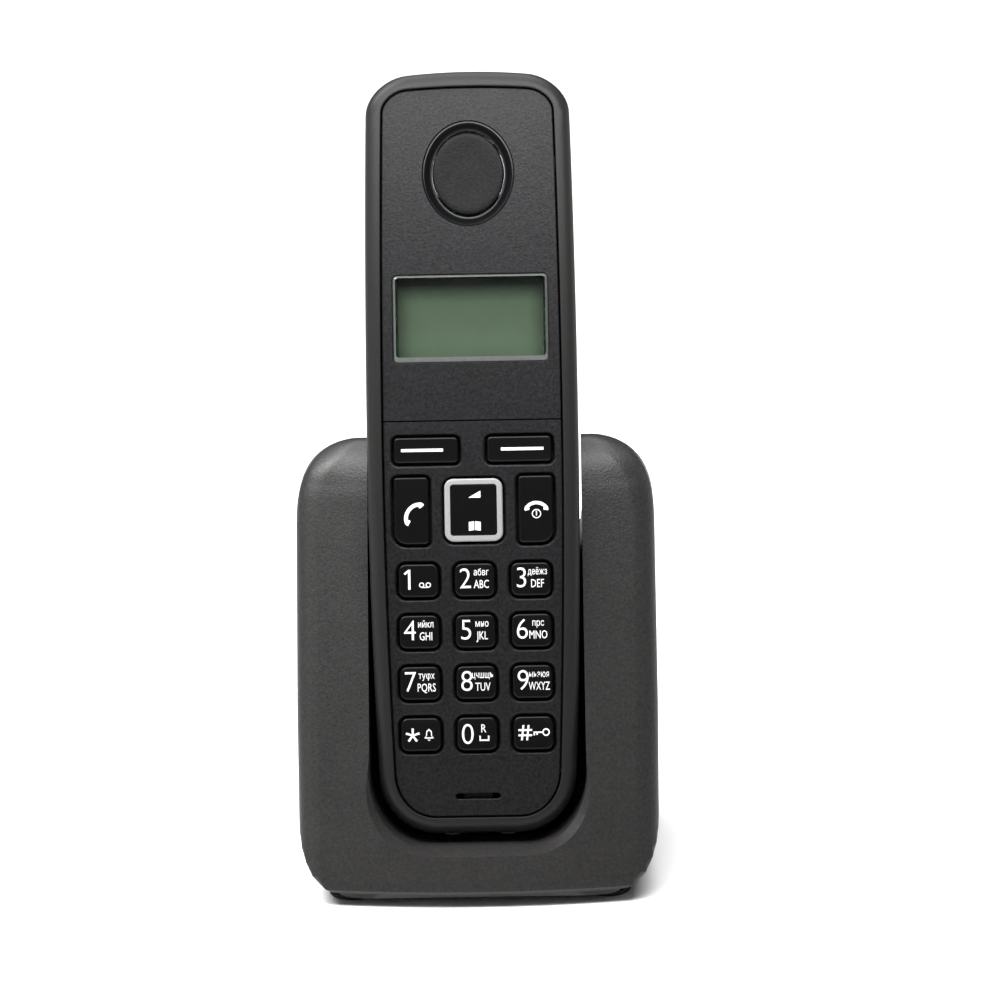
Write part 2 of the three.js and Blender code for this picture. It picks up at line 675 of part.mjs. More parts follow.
function socketBody(sign) {
  const { width, tall, length, bottom, side, hole } = SOCKET;
  const { y } = BASE.rear;
  const middle = bottom + tall / 2;
  const x = sign * side;
  const body = boxBetween([x - width / 2, y - length, bottom], [x + width / 2, y, bottom + tall]);
  const mouth = boxBetween(
    [x - hole.x / 2, y - hole.depth, middle - hole.z / 2],
    [x + hole.x / 2, FAR, middle + hole.z / 2],
  );
  return { body, mouth };
}

function socketHole(sign) {
  const { width, tall, length, bottom, side } = SOCKET;
  const x = sign * side;
  return boxBetween(
    [x - width / 2 - GAP, BASE.rear.y - length, bottom - GAP],
    [x + width / 2 + GAP, FAR, bottom + tall + GAP],
  );
}

function sockets() {
  return [["line_socket", -1], ["power_socket", 1]].map(([name, sign]) => {
    const { body, mouth } = socketBody(sign);
    return piece(name, cut(body, mouth), "glossBlack");
  });
}

/** Moves a rod drawn along y onto the rear slope, square to it, with y = 0 on the surface. */
function onRearSlope(geometry) {
  const { crown } = BASE;
  const down = (crown.z - PAGE_KEY.height) / Math.cos(REAR_LEAN);
  const surfaceY = crown.y + crown.radius * Math.cos(REAR_LEAN) + down * Math.sin(REAR_LEAN);
  const surfaceZ = PAGE_KEY.height + crown.radius * Math.sin(REAR_LEAN);
  return geometry.rotateX(REAR_LEAN).translate(0, surfaceY, surfaceZ);
}

function pageKey() {
  const { radius, proud, depth } = PAGE_KEY;
  return piece("page_key", onRearSlope(rodAlongDepth(radius, proud - depth, proud)), "charcoal");
}

/** The screws that hold the rear shell from below. */
function baseScrews() {
  return SIDES.map(([side, sign]) => {
    const screw = piece(`base_screw_${side}`, screwGeometry().rotateX(-Math.PI / 2), "steel");
    screw.position.set(sign * BASE_SCREW.x, BASE_SCREW.y, BASE.bottom + GAP + SCREW.length);
    return screw;
  });
}

function baseShells() {
  const casing = wholeCasing();
  const headBores = screwBores(SCREW.headRadius, BASE.bottom + SCREW.headHeight + 2 * GAP);
  const socketHoles = SIDES.map(([, sign]) => socketHole(sign));
  const keyHole = onRearSlope(rodAlongDepth(PAGE_KEY.radius + GAP, -PAGE_KEY.depth, PAGE_KEY.depth));
  const front = common(casing, join(frontOfSeam(GAP), skirt(GAP)));
  const rear = cut(casing, frontOfSeam(), skirt(), ...socketHoles, keyHole, ...headBores);
  return [
    piece("base_front_shell", front, "basePlastic"),
    piece("base_rear_shell", rear, "basePlastic"),
  ];
}

function baseElectronics() {
  const board = { halfWidth: 27, front: 53.8, back: 55.2, bottom: 6, top: 46 };
  const antenna = { side: 26, front: 46, back: 47, bottom: 8, top: 40, halfWidth: 4 };
  return [
    piece("base_board", boxBetween(
      [-board.halfWidth, board.front, board.bottom], [board.halfWidth, board.back, board.top]), "board"),
    piece("base_antenna", boxBetween(
      [antenna.side - antenna.halfWidth, antenna.front, antenna.bottom],
      [antenna.side + antenna.halfWidth, antenna.back, antenna.top]), "contact"),
    ...SIDES.map(([side, sign]) => piece(`cradle_contact_${side}`, cradleContactBox(sign), "contact")),
  ];
}

function chargingBase() {
  const group = new THREE.Group();
  group.add(...baseShells(), ...baseElectronics(), ...sockets(), pageKey(), ...baseFeet(), ...baseScrews());
  group.position.y = TOE_Y;
  return group;
}

const phoneWithBase = new THREE.Group();
phoneWithBase.add(handset(), chargingBase());

export default phoneWithBase;
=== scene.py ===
"""Finishes a cordless phone and its charging base: shells, keys, legends, display and studio."""

import json
import logging
import math
from dataclasses import dataclass
from enum import Enum
from typing import Callable, Sequence

import bmesh
import bpy
from mathutils import Matrix, Vector


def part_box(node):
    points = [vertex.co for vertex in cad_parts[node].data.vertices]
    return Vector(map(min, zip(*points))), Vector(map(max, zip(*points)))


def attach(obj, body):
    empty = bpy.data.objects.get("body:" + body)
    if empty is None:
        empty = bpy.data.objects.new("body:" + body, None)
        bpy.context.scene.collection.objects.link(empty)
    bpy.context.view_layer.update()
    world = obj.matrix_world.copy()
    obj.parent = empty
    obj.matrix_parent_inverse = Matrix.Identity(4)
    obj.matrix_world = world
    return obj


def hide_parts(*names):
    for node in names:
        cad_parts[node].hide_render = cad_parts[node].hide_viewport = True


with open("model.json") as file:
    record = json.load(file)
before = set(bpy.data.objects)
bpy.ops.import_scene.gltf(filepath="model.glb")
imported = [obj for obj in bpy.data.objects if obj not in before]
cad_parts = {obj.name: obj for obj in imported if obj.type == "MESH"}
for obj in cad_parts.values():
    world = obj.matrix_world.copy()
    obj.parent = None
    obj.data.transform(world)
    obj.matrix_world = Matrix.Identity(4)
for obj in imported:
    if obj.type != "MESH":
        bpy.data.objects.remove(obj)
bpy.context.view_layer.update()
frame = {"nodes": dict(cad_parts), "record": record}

MM = 0.001
LOG = logging.getLogger("phone")

Piece = bpy.types.Object
Socket = bpy.types.NodeSocket
Ring = list[Vector]
Points = list[tuple[float, float]]
Colour = tuple[float, float, float]


# ---------------------------------------------------------------- places


@dataclass(frozen=True)
class Space:
    """A workshop frame in millimetres: x across, y into the object, z along its length.

    Attributes:
        origin: The frame's origin in the scene, in metres.
        inward: The scene direction of y.
        up: The scene direction of z.
    """

    origin: Vector
    inward: Vector
    up: Vector

    @property
    def matrix(self) -> Matrix:
        """The matrix that takes millimetres here to metres in the scene.

        Returns:
            The matrix.
        """
        across = self.inward.cross(self.up)
        turn = Matrix((across, self.inward, self.up)).transposed().to_4x4()
        return Matrix.Translation(self.origin) @ turn @ Matrix.Scale(MM, 4)

    def middle(self, node: str) -> Vector:
        """Returns the middle of a CAD node's box."""
        low, high = self.box(node)
        return (low + high) / 2

    def box(self, node: str) -> tuple[Vector, Vector]:
        """Measures a CAD node along this frame's own axes.

        Args:
            node: The node's name.

        Returns:
            Its lowest and highest corners, in millimetres here.
        """
        back = self.matrix.inverted()
        points = [back @ vertex.co for vertex in frame["nodes"][node].data.vertices]
        low = Vector(min(point[axis] for point in points) for axis in range(3))
        high = Vector(max(point[axis] for point in points) for axis in range(3))
        return low, high


def handset_space() -> Space:
    """Finds the handset's own frame: its face plane, bottom end and length.

    Returns:
        The frame, worked out from the slide that lifts the handset and its casing's extent.
    """
    lift = next(j for j in frame["record"]["behaviour"]["joints"] if j["name"] == "handset_lift")
    up = Vector(lift["axis"]).normalized()
    inward = Vector((0, up.z, -up.y))
    loose = Space(Vector(), inward, up)
    bottom = loose.box("handset_front_frame")[0].z
    face = loose.box("display_panel")[0].y
    return Space((inward * face + up * bottom) * MM, inward, up)


def base_space() -> Space:
    """Finds the base's frame: upright, with y = 0 at the foot of its sloping face.

    Returns:
        The frame, worked out from the rear shell.
    """
    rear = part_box("base_rear_shell")[1][1]
    depth = Base.rear_depth * MM
    return Space(Vector((0, rear - depth, 0)), Vector((0, 1, 0)), Vector((0, 0, 1)))


# ---------------------------------------------------------------- modelling


def deselect() -> None:
    """Leaves nothing selected."""
    bpy.ops.object.select_all(action="DESELECT")


def activate(piece: Piece) -> None:
    """Selects one piece alone and makes it active.

    Args:
        piece: The piece.
    """
    deselect()
    piece.select_set(True)
    bpy.context.view_layer.objects.active = piece


def edit(piece: Piece) -> None:
    """Enters edit mode on a piece with everything selected.

    Args:
        piece: The piece.
    """
    activate(piece)
    bpy.ops.object.mode_set(mode="EDIT")
    bpy.ops.mesh.select_all(action="SELECT")


def leave_edit() -> None:
    """Returns to object mode."""
    bpy.ops.object.mode_set(mode="OBJECT")


def place_key(point: Vector) -> tuple[int, int, int]:
    """Rounds a place to a micrometre, to find it again after an extrusion."""
    return tuple(round(value * 1000) for value in point)


def loft(name: str, rings: Sequence[Ring], closed: bool = False, caps: bool = True) -> Piece:
    """Extrudes a ring of points through further rings.

    Args:
        name: The piece's name.
        rings: The rings in order, each with as many points as the first.
        closed: Whether the last ring joins the first, as on a frame with an open middle.
        caps: Whether the two end rings are filled.

    Returns:
        The piece.
    """
    deselect()
    bpy.ops.mesh.primitive_circle_add(vertices=len(rings[0]), radius=1)
    piece = bpy.context.object
    piece.name = name
    edit(piece)
    mesh = bmesh.from_edit_mesh(piece.data)
    for vertex, point in zip(mesh.verts, rings[0]):
        vertex.co = point
    route = [*rings, rings[0]] if closed else rings
    for before, after in zip(route, route[1:]):
        bpy.ops.mesh.extrude_region_move()
        mesh = bmesh.from_edit_mesh(piece.data)
        order = {place_key(point): index for index, point in enumerate(before)}
        for vertex in (v for v in mesh.verts if v.select):
            vertex.co = after[order[place_key(vertex.co)]]
        bmesh.update_edit_mesh(piece.data)
    bpy.ops.mesh.select_all(action="SELECT")
    if closed:
        bpy.ops.mesh.remove_doubles(threshold=1e-4)
    elif caps:
        bpy.ops.mesh.fill_holes(sides=0)
    bpy.ops.mesh.select_all(action="SELECT")
    bpy.ops.mesh.normals_make_consistent(inside=False)
    leave_edit()
    return piece


def block(name: str, low: Sequence[float], high: Sequence[float], bevel: float = 0.0) -> Piece:
    """Makes a box between two corners, with its edges bevelled.

    Args:
        name: The piece's name.
        low: Its lowest corner.
        high: Its highest corner.
        bevel: The bevel's width, or 0 for none.

    Returns:
        The piece.
    """
    deselect()
    size = Vector(high) - Vector(low)
    bpy.ops.mesh.primitive_cube_add(size=1, location=(Vector(high) + Vector(low)) / 2, scale=size)
    piece = bpy.context.object
    piece.name = name
    bpy.ops.object.transform_apply(location=True, rotation=True, scale=True)
    if bevel:
        edit(piece)
        bpy.ops.mesh.bevel(offset=bevel, segments=3, affect="EDGES")
        leave_edit()
    return piece


def rod(name: str, radius: float, front: float, back: float, x: float, z: float) -> Piece:
    """Makes a cylinder along y.

    Args:
        name: The piece's name.
        radius: Its radius.
        front: Where it starts along y.
        back: Where it ends along y.
        x: Its axis across.
        z: Its axis along the length.

    Returns:
        The piece.
    """
    return round_loft(name, x, z, [(radius, front), (radius, back)])


def modify(piece: Piece, kind: str, **settings: object) -> None:
    """Adds a modifier to a piece and applies it.

    Args:
        piece: The piece.
        kind: Blender's name for the modifier's type.
        settings: The modifier's own settings.
    """
    activate(piece)
    modifier = piece.modifiers.new(kind.title(), kind)
    for name, value in settings.items():
        setattr(modifier, name, value)
    bpy.ops.object.modifier_apply(modifier=modifier.name)


class Cut(Enum):
    """What a boolean does with its tool."""

    AWAY = "DIFFERENCE"
    TOGETHER = "UNION"
    COMMON = "INTERSECT"


def combine(piece: Piece, tool: Piece, how: Cut) -> Piece:
    """Joins or cuts a piece with a tool.

    Args:
        piece: The piece that is changed.
        tool: The other solid, which is used up.
        how: What is done with it.

    Returns:
        The changed piece.
    """
    modify(piece, "BOOLEAN", operation=how.value, solver="EXACT", object=tool)
    bpy.data.objects.remove(tool, do_unlink=True)
    return piece


def duplicate(piece: Piece, name: str) -> Piece:
    """Copies a piece, with a mesh of its own.

    Args:
        piece: The piece.
        name: The copy's name.

    Returns:
        The copy.
    """
    copy = piece.copy()
    copy.data = piece.data.copy()
    copy.name = name
    bpy.context.collection.objects.link(copy)
    return copy


def join(name: str, pieces: Sequence[Piece]) -> Piece:
    """Joins several pieces into one object.

    Args:
        name: The joined piece's name.
        pieces: The pieces, which are used up.

    Returns:
        The joined piece.
    """
    activate(pieces[0])
    for piece in pieces:
        piece.select_set(True)
    if len(pieces) > 1:
        bpy.ops.object.join()
    joined = bpy.context.object
    joined.name = name
    return joined


def soften(piece: Piece, angle: float = 32) -> None:
    """Shades a piece smooth, but for edges sharper than an angle in degrees.

    Args:
        piece: The piece.
        angle: The angle.
    """
    activate(piece)
    bpy.ops.object.shade_smooth_by_angle(angle=math.radians(angle))
    modify(piece, "WEIGHTED_NORMAL", keep_sharp=True, weight=100)


# ---------------------------------------------------------------- outlines


def circle_ring(radius: float, depth: float, x: float = 0.0, z: float = 0.0, sides: int = 48) -> Ring:
    """Returns a circle on the x-z plane at a depth."""
    return oval_ring(radius, radius, depth, x, z, sides)


def oval_ring(
    half_x: float, half_z: float, depth: float, x: float = 0.0, z: float = 0.0, sides: int = 96
) -> Ring:
    """Returns an oval on the x-z plane at a depth.

    Args:
        half_x: Half of its width.
        half_z: Half of its height.
        depth: Its depth.
        x: Its centre across.
        z: Its centre along the length.
        sides: How many sides it has.

    Returns:
        The ring.
    """
    angles = [2 * math.pi * step / sides for step in range(sides)]
    return [Vector((x + half_x * math.cos(a), depth, z + half_z * math.sin(a))) for a in angles]


def arc_points(
    centre: tuple[float, float], radii: tuple[float, float], start: float, sweep: float, steps: int
) -> Points:
    """Returns points on an elliptical arc.

    Args:
        centre: The ellipse's centre.
        radii: Its two radii.
        start: Where the arc starts, in degrees.
        sweep: How far it goes, in degrees.
        steps: How many straight steps it has.

    Returns:
        The points, both ends included.
    """
    angles = [math.radians(start + sweep * step / steps) for step in range(steps + 1)]
    return [(centre[0] + radii[0] * math.cos(a), centre[1] + radii[1] * math.sin(a)) for a in angles]


def box_ring(
    low: Vector, high: Vector, inset: float, depth: float, corners: Sequence[float], steps: int = 6
) -> Ring:
    """Returns a rounded rectangle on the x-z plane.

    Args:
        low: A corner whose x and z are the rectangle's lowest.
        high: A corner whose x and z are its highest.
        inset: How far it is drawn in, or out when negative.
        depth: Its depth.
        corners: The radii at lower left, lower right, upper right and upper left.
        steps: How many steps each corner has.

    Returns:
        The ring, anticlockwise as seen from the front.
    """
    radii = [max(corner - inset, 0.05) for corner in corners]
    x0, x1, z0, z1 = low.x + inset, high.x - inset, low.z + inset, high.z - inset
    centres = [
        (x0 + radii[0], z0 + radii[0]),
        (x1 - radii[1], z0 + radii[1]),
        (x1 - radii[2], z1 - radii[2]),
        (x0 + radii[3], z1 - radii[3]),
    ]
    ring: Ring = []
    for index, (centre, radius) in enumerate(zip(centres, radii)):
        arc = arc_points(centre, (radius, radius), 180 + 90 * index, 90, steps)
        ring += [Vector((x, depth, z)) for x, z in arc]
    return ring


def box_loft(name: str, low: Vector, high: Vector, profile: Points, corner: float) -> Piece:
    """Makes a rounded box along y from (inset, depth) steps.

    Args:
        name: The piece's name.
        low: A corner whose x and z are its lowest.
        high: A corner whose x and z are its highest.
        profile: The steps.
        corner: The radius of its four corners.

    Returns:
        The piece.
    """
    return loft(name, [box_ring(low, high, inset, depth, (corner,) * 4) for inset, depth in profile])


def round_loft(name: str, x: float, z: float, profile: Points, sides: int = 48) -> Piece:
    """Makes a turned piece along y from (radius, depth) steps.

    Args:
        name: The piece's name.
        x: Its axis across.
        z: Its axis along the length.
        profile: The steps.
        sides: How many sides it has.

    Returns:
        The piece.
    """
    return loft(name, [circle_ring(radius, depth, x, z, sides) for radius, depth in profile])


def oval_loft(
    name: str, half_x: float, half_z: float, z: float, profile: Points, closed: bool = False
) -> Piece:
    """Makes an oval piece along y from (inset, depth) steps.

    Args:
        name: The piece's name.
        half_x: Half of its width.
        half_z: Half of its height.
        z: Its axis along the length.
        profile: The steps.
        closed: Whether it is a ring with an open middle.

    Returns:
        The piece.
    """
    rings = [oval_ring(half_x - inset, half_z - inset, depth, 0, z) for inset, depth in profile]
    return loft(name, rings, closed=closed)


def rounded_steps(width: float, front: float, steps: int = 5) -> Points:
    """Returns the (inset, depth) steps of an edge that rounds over towards the front.

    Args:
        width: The rounding's radius.
        front: The depth of the flat that it meets.
        steps: How many steps it has.

    Returns:
        The steps, from the side wall to the flat.
    """
    return arc_points((width, front + width), (width, width), 180, 90, steps)


# ---------------------------------------------------------------- finishes


@dataclass(frozen=True)
class Plastic:
    """A moulded plastic: a fine moulded texture, faint mottling and edges polished by handling.

    Attributes:
        name: The finish's name.
        colour: Its colour.
        roughness: How dull it is.
        grain: The size of the moulded texture, in millimetres.
        relief: How deep the texture looks, from 0 to 1.
        mottle: How much the colour varies, as a share.
        rub: How much lighter the worn edges are, as a share.
        specular: The strength of its reflection.
    """

    name: str
    colour: Colour
    roughness: float = 0.5
    grain: float = 0.35
    relief: float = 0.2
    mottle: float = 0.08
    rub: float = 0.15
    specular: float = 0.5

    def build(self) -> bpy.types.Material:
        """Builds the finish's material.

        Returns:
            The material.
        """
        return plastic_material(self)


class Graph:
    """A thin helper round a material's nodes."""

    def __init__(self, name: str) -> None:
        """Starts a material with only its shader and output.

        Args:
            name: The material's name.
        """
        self.material = bpy.data.materials.new(name)
        self.material.use_nodes = True
        self.nodes = self.material.node_tree.nodes
        self.links = self.material.node_tree.links
        self.shader = next(node for node in self.nodes if node.type == "BSDF_PRINCIPLED")

    def add(self, kind: str, inputs: dict | None = None, **settings: object) -> bpy.types.Node:
        """Adds a node.

        Args:
            kind: The node's type, without its ShaderNode prefix.
            inputs: Values or sockets for its inputs, by name.
            settings: The node's own settings.

        Returns:
            The node.
        """
        node = self.nodes.new("ShaderNode" + kind)
        for name, value in settings.items():
            setattr(node, name, value)
        for name, value in (inputs or {}).items():
            self.put(node.inputs[name], value)
        return node

    def put(self, socket: Socket, value: object) -> None:
        """Gives an input a value, or links another node's output to it.

        Args:
            socket: The input.
            value: The value or the output.
        """
        if isinstance(value, Socket):
            self.links.new(value, socket)
        else:
            socket.default_value = value

    def place(self, scale: float = 1.0) -> Socket:
        """Returns object coordinates, in millimetres times a scale.

        Args:
            scale: The scale.

        Returns:
            The coordinates' socket.
        """
        coordinates = self.add("TexCoord")
        size = 1 / MM * scale
        mapping = self.add("Mapping", {"Vector": coordinates.outputs["Object"], "Scale": (size, size, size)})
        return mapping.outputs["Vector"]

    def noise(self, size: float, detail: float = 3.0, roughness: float = 0.55) -> Socket:
        """Returns a noise whose features are about `size` millimetres across."""
        inputs = {"Vector": self.place(), "Scale": 1 / size, "Detail": detail, "Roughness": roughness}
        return self.add("TexNoise", inputs).outputs["Fac"]

    def ramp(self, factor: Socket, stops: Sequence[tuple[float, Colour]]) -> Socket:
        """Maps a factor to colours.

        Args:
            factor: The factor's socket.
            stops: (place, colour) pairs from 0 to 1.

        Returns:
            The colour's socket.
        """
        node = self.add("ValToRGB", {"Fac": factor})
        elements = node.color_ramp.elements
        while len(elements) < len(stops):
            elements.new(0.5)
        for element, (place, colour) in zip(elements, stops):
            element.position = place
            element.color = (*colour, 1)
        return node.outputs["Color"]

    def spread(self, factor: Socket, low: float, high: float) -> Socket:
        """Maps a factor from 0..1 to low..high."""
        node = self.add("MapRange", {"Value": factor, "To Min": low, "To Max": high})
        return node.outputs["Result"]

    def bump(self, height: Socket, strength: float, distance: float) -> None:
        """Gives the shader a relief of a height in millimetres."""
        inputs = {"Height": height, "Strength": strength, "Distance": distance * MM}
        self.put(self.shader.inputs["Normal"], self.add("Bump", inputs).outputs["Normal"])

    def set(self, **values: object) -> None:
        """Sets the shader's inputs, with underscores for the spaces in their names."""
        for name, value in values.items():
            title = name.replace("_", " ")
            socket = next(s for s in self.shader.inputs if s.name.lower() == title.lower())
            self.put(socket, (*value, 1) if isinstance(value, tuple) and len(value) == 3 else value)


def shade_of(colour: Colour, share: float) -> Colour:
    """Returns a colour made lighter or darker by a share."""
    return tuple(min(channel * (1 + share), 1.0) for channel in colour)


def plastic_material(finish: Plastic) -> bpy.types.Material:
    """Builds a moulded plastic.

    Args:
        finish: The plastic's values.

    Returns:
        The material.
    """
    graph = Graph(finish.name)
    mottled = graph.ramp(
        graph.noise(finish.grain * 1.2, detail=3),
        [(0.3, shade_of(finish.colour, -finish.mottle)), (0.7, shade_of(finish.colour, finish.mottle))],
    )
    pointed = graph.add("NewGeometry").outputs["Pointiness"]
    worn = graph.add("MapRange", {"Value": pointed, "From Min": 0.53, "From Max": 0.6, "To Max": finish.rub})
    mix = graph.add("Mix", data_type="RGBA", blend_type="MIX")
    graph.put(mix.inputs["Factor"], worn.outputs["Result"])
    graph.put(mix.inputs["A"], mottled)
    graph.put(mix.inputs["B"], (*shade_of(finish.colour, 1.6), 1))
    dull = graph.spread(graph.noise(9, detail=2), finish.roughness - 0.04, finish.roughness + 0.04)
    graph.set(base_color=mix.outputs["Result"], roughness=dull, specular_ior_level=finish.specular)
    graph.bump(graph.noise(finish.grain, detail=2), finish.relief, 0.08)
    return graph.material


@dataclass(frozen=True)
class Metal:
    """A stamped, drawn or plated metal with fine streaks.

    Attributes:
        name: The finish's name.
        colour: Its colour.
        roughness: How dull it is.
        streak: How long the streaks are across the part, in millimetres.
    """

    name: str
    colour: Colour
    roughness: float = 0.3
    streak: float = 0.6

    def build(self) -> bpy.types.Material:
        """Builds the finish's material.

        Returns:
            The material.
        """
        graph = Graph(self.name)
        streaks = graph.noise(self.streak, detail=5, roughness=0.7)
        dark, light = shade_of(self.colour, -0.12), shade_of(self.colour, 0.06)
        tone = graph.ramp(streaks, [(0.35, dark), (0.65, light)])
        dull = graph.spread(streaks, self.roughness - 0.08, self.roughness + 0.1)
        graph.set(base_color=tone, roughness=dull, metallic=1.0)
        graph.bump(streaks, 0.15, 0.02)
        return graph.material


@dataclass(frozen=True)
class Lens:
    """The clear display window.

    Attributes:
        name: The finish's name.
        colour: The tint of what little it hides.
        alpha: How much of the light it stops.
    """

    name: str = "clear_lens"
    colour: Colour = (0.08, 0.09, 0.08)
    alpha: float = 0.025

    def build(self) -> bpy.types.Material:
        """Builds the finish's material.

        Returns:
            The material.
        """
        graph = Graph(self.name)
        smears = graph.spread(graph.noise(5, detail=4), 0.03, 0.08)
        graph.set(base_color=self.colour, roughness=smears, alpha=self.alpha, specular_ior_level=0.25)
        return graph.material


@dataclass(frozen=True)
class DisplayGlass:
    """The grey-green display behind the window, with painted shade towards its top and sides and painted
    light towards its bottom.

    Attributes:
        name: The finish's name.
        colour: The colour of its middle.
        edge: The colour of the painted shade at its top edge.
        low: The height of its lower edge in the scene, in millimetres.
        high: The height of its upper edge.
        half: Half of its width.
    """

    name: str
    colour: Colour
    edge: Colour
    low: float
    high: float
    half: float

    def build(self) -> bpy.types.Material:
        """Builds the finish's material.

        Returns:
            The material.
        """
        graph = Graph(self.name)
        place = graph.add("SeparateXYZ", {"Vector": graph.place()})
        inputs = {"Value": place.outputs["Z"], "From Min": self.low, "From Max": self.high}
        height = graph.add("MapRange", inputs).outputs["Result"]
        # Painted light and shade: lighter towards the bottom, darkening to the painted shadow colour at the
        # top.
        middle = shade_of(self.colour, -0.1)
        stops = [(0.0, shade_of(self.colour, 0.4)), (0.45, self.colour), (0.7, middle), (0.9, self.edge)]
        tone = graph.ramp(height, stops)
        cloud = graph.ramp(graph.noise(3.5, detail=4), [(0.3, (0.93,) * 3), (0.7, (1.0,) * 3)])
        # Painted shade: the colour darkens by half over the last 3.2 mm towards each side.
        aside = graph.add("Math", {0: place.outputs["X"]}, operation="ABSOLUTE").outputs["Value"]
        inputs = {"Value": aside, "From Min": self.half - 3.2, "From Max": self.half}
        inputs |= {"To Min": 1.0, "To Max": 0.5}
        side = graph.add("MapRange", inputs).outputs["Result"]
        for factor in (cloud, side):
            mix = graph.add("Mix", data_type="RGBA", blend_type="MULTIPLY")
            graph.put(mix.inputs["Factor"], 1.0)
            graph.put(mix.inputs["A"], tone)
            graph.put(mix.inputs["B"], factor)
            tone = mix.outputs["Result"]
        graph.set(base_color=tone, roughness=0.65, specular_ior_level=0.04)
        graph.bump(graph.noise(1.2), 0.04, 0.01)
        return graph.material


@dataclass(frozen=True)
class CircuitBoard:
    """A lacquered circuit board with copper tracks under the lacquer."""

    name: str = "circuit_board"
    lacquer: Colour = (0.02, 0.11, 0.045)
    track: Colour = (0.04, 0.2, 0.08)

    def build(self) -> bpy.types.Material:
        """Builds the finish's material.

        Returns:
            The material.
        """
        graph = Graph(self.name)
        inputs = {"Vector": graph.place(), "Color1": (*self.lacquer, 1), "Color2": (*self.track, 1)}
        inputs |= {"Mortar": (*shade_of(self.track, 0.6), 1), "Scale": 0.3, "Mortar Size": 0.03}
        tracks = graph.add("TexBrick", inputs)
        graph.set(base_color=tracks.outputs["Color"], roughness=0.3, coat_weight=0.5)
        graph.bump(tracks.outputs["Fac"], 0.3, 0.05)
        return graph.material


@dataclass(frozen=True)
class CellWrap:
    """The printed film round a dry cell, with a plain band near one end.

    Attributes:
        name: The finish's name.
        film: The film's colour.
        band: The band's colour.
        low: The height in the scene where the band ends, in millimetres.
    """

    name: str
    film: Colour
    band: Colour
    low: float

    def build(self) -> bpy.types.Material:
        """Builds the finish's material.

        Returns:
            The material.
        """
        graph = Graph(self.name)
        place = graph.add("SeparateXYZ", {"Vector": graph.place()})
        above = graph.add("Math", {0: place.outputs["Z"], 1: self.low}, operation="GREATER_THAN")
        mix = graph.add("Mix", data_type="RGBA")
        graph.put(mix.inputs["Factor"], above.outputs["Value"])
        graph.put(mix.inputs["A"], (*self.band, 1))
        scuffs = graph.ramp(graph.noise(2.5, detail=5), [(0.4, self.film), (0.8, shade_of(self.film, 0.25))])
        graph.put(mix.inputs["B"], scuffs)
        graph.set(base_color=mix.outputs["Result"], roughness=0.28, coat_weight=0.3)
        graph.bump(graph.noise(4), 0.1, 0.04)
        return graph.material


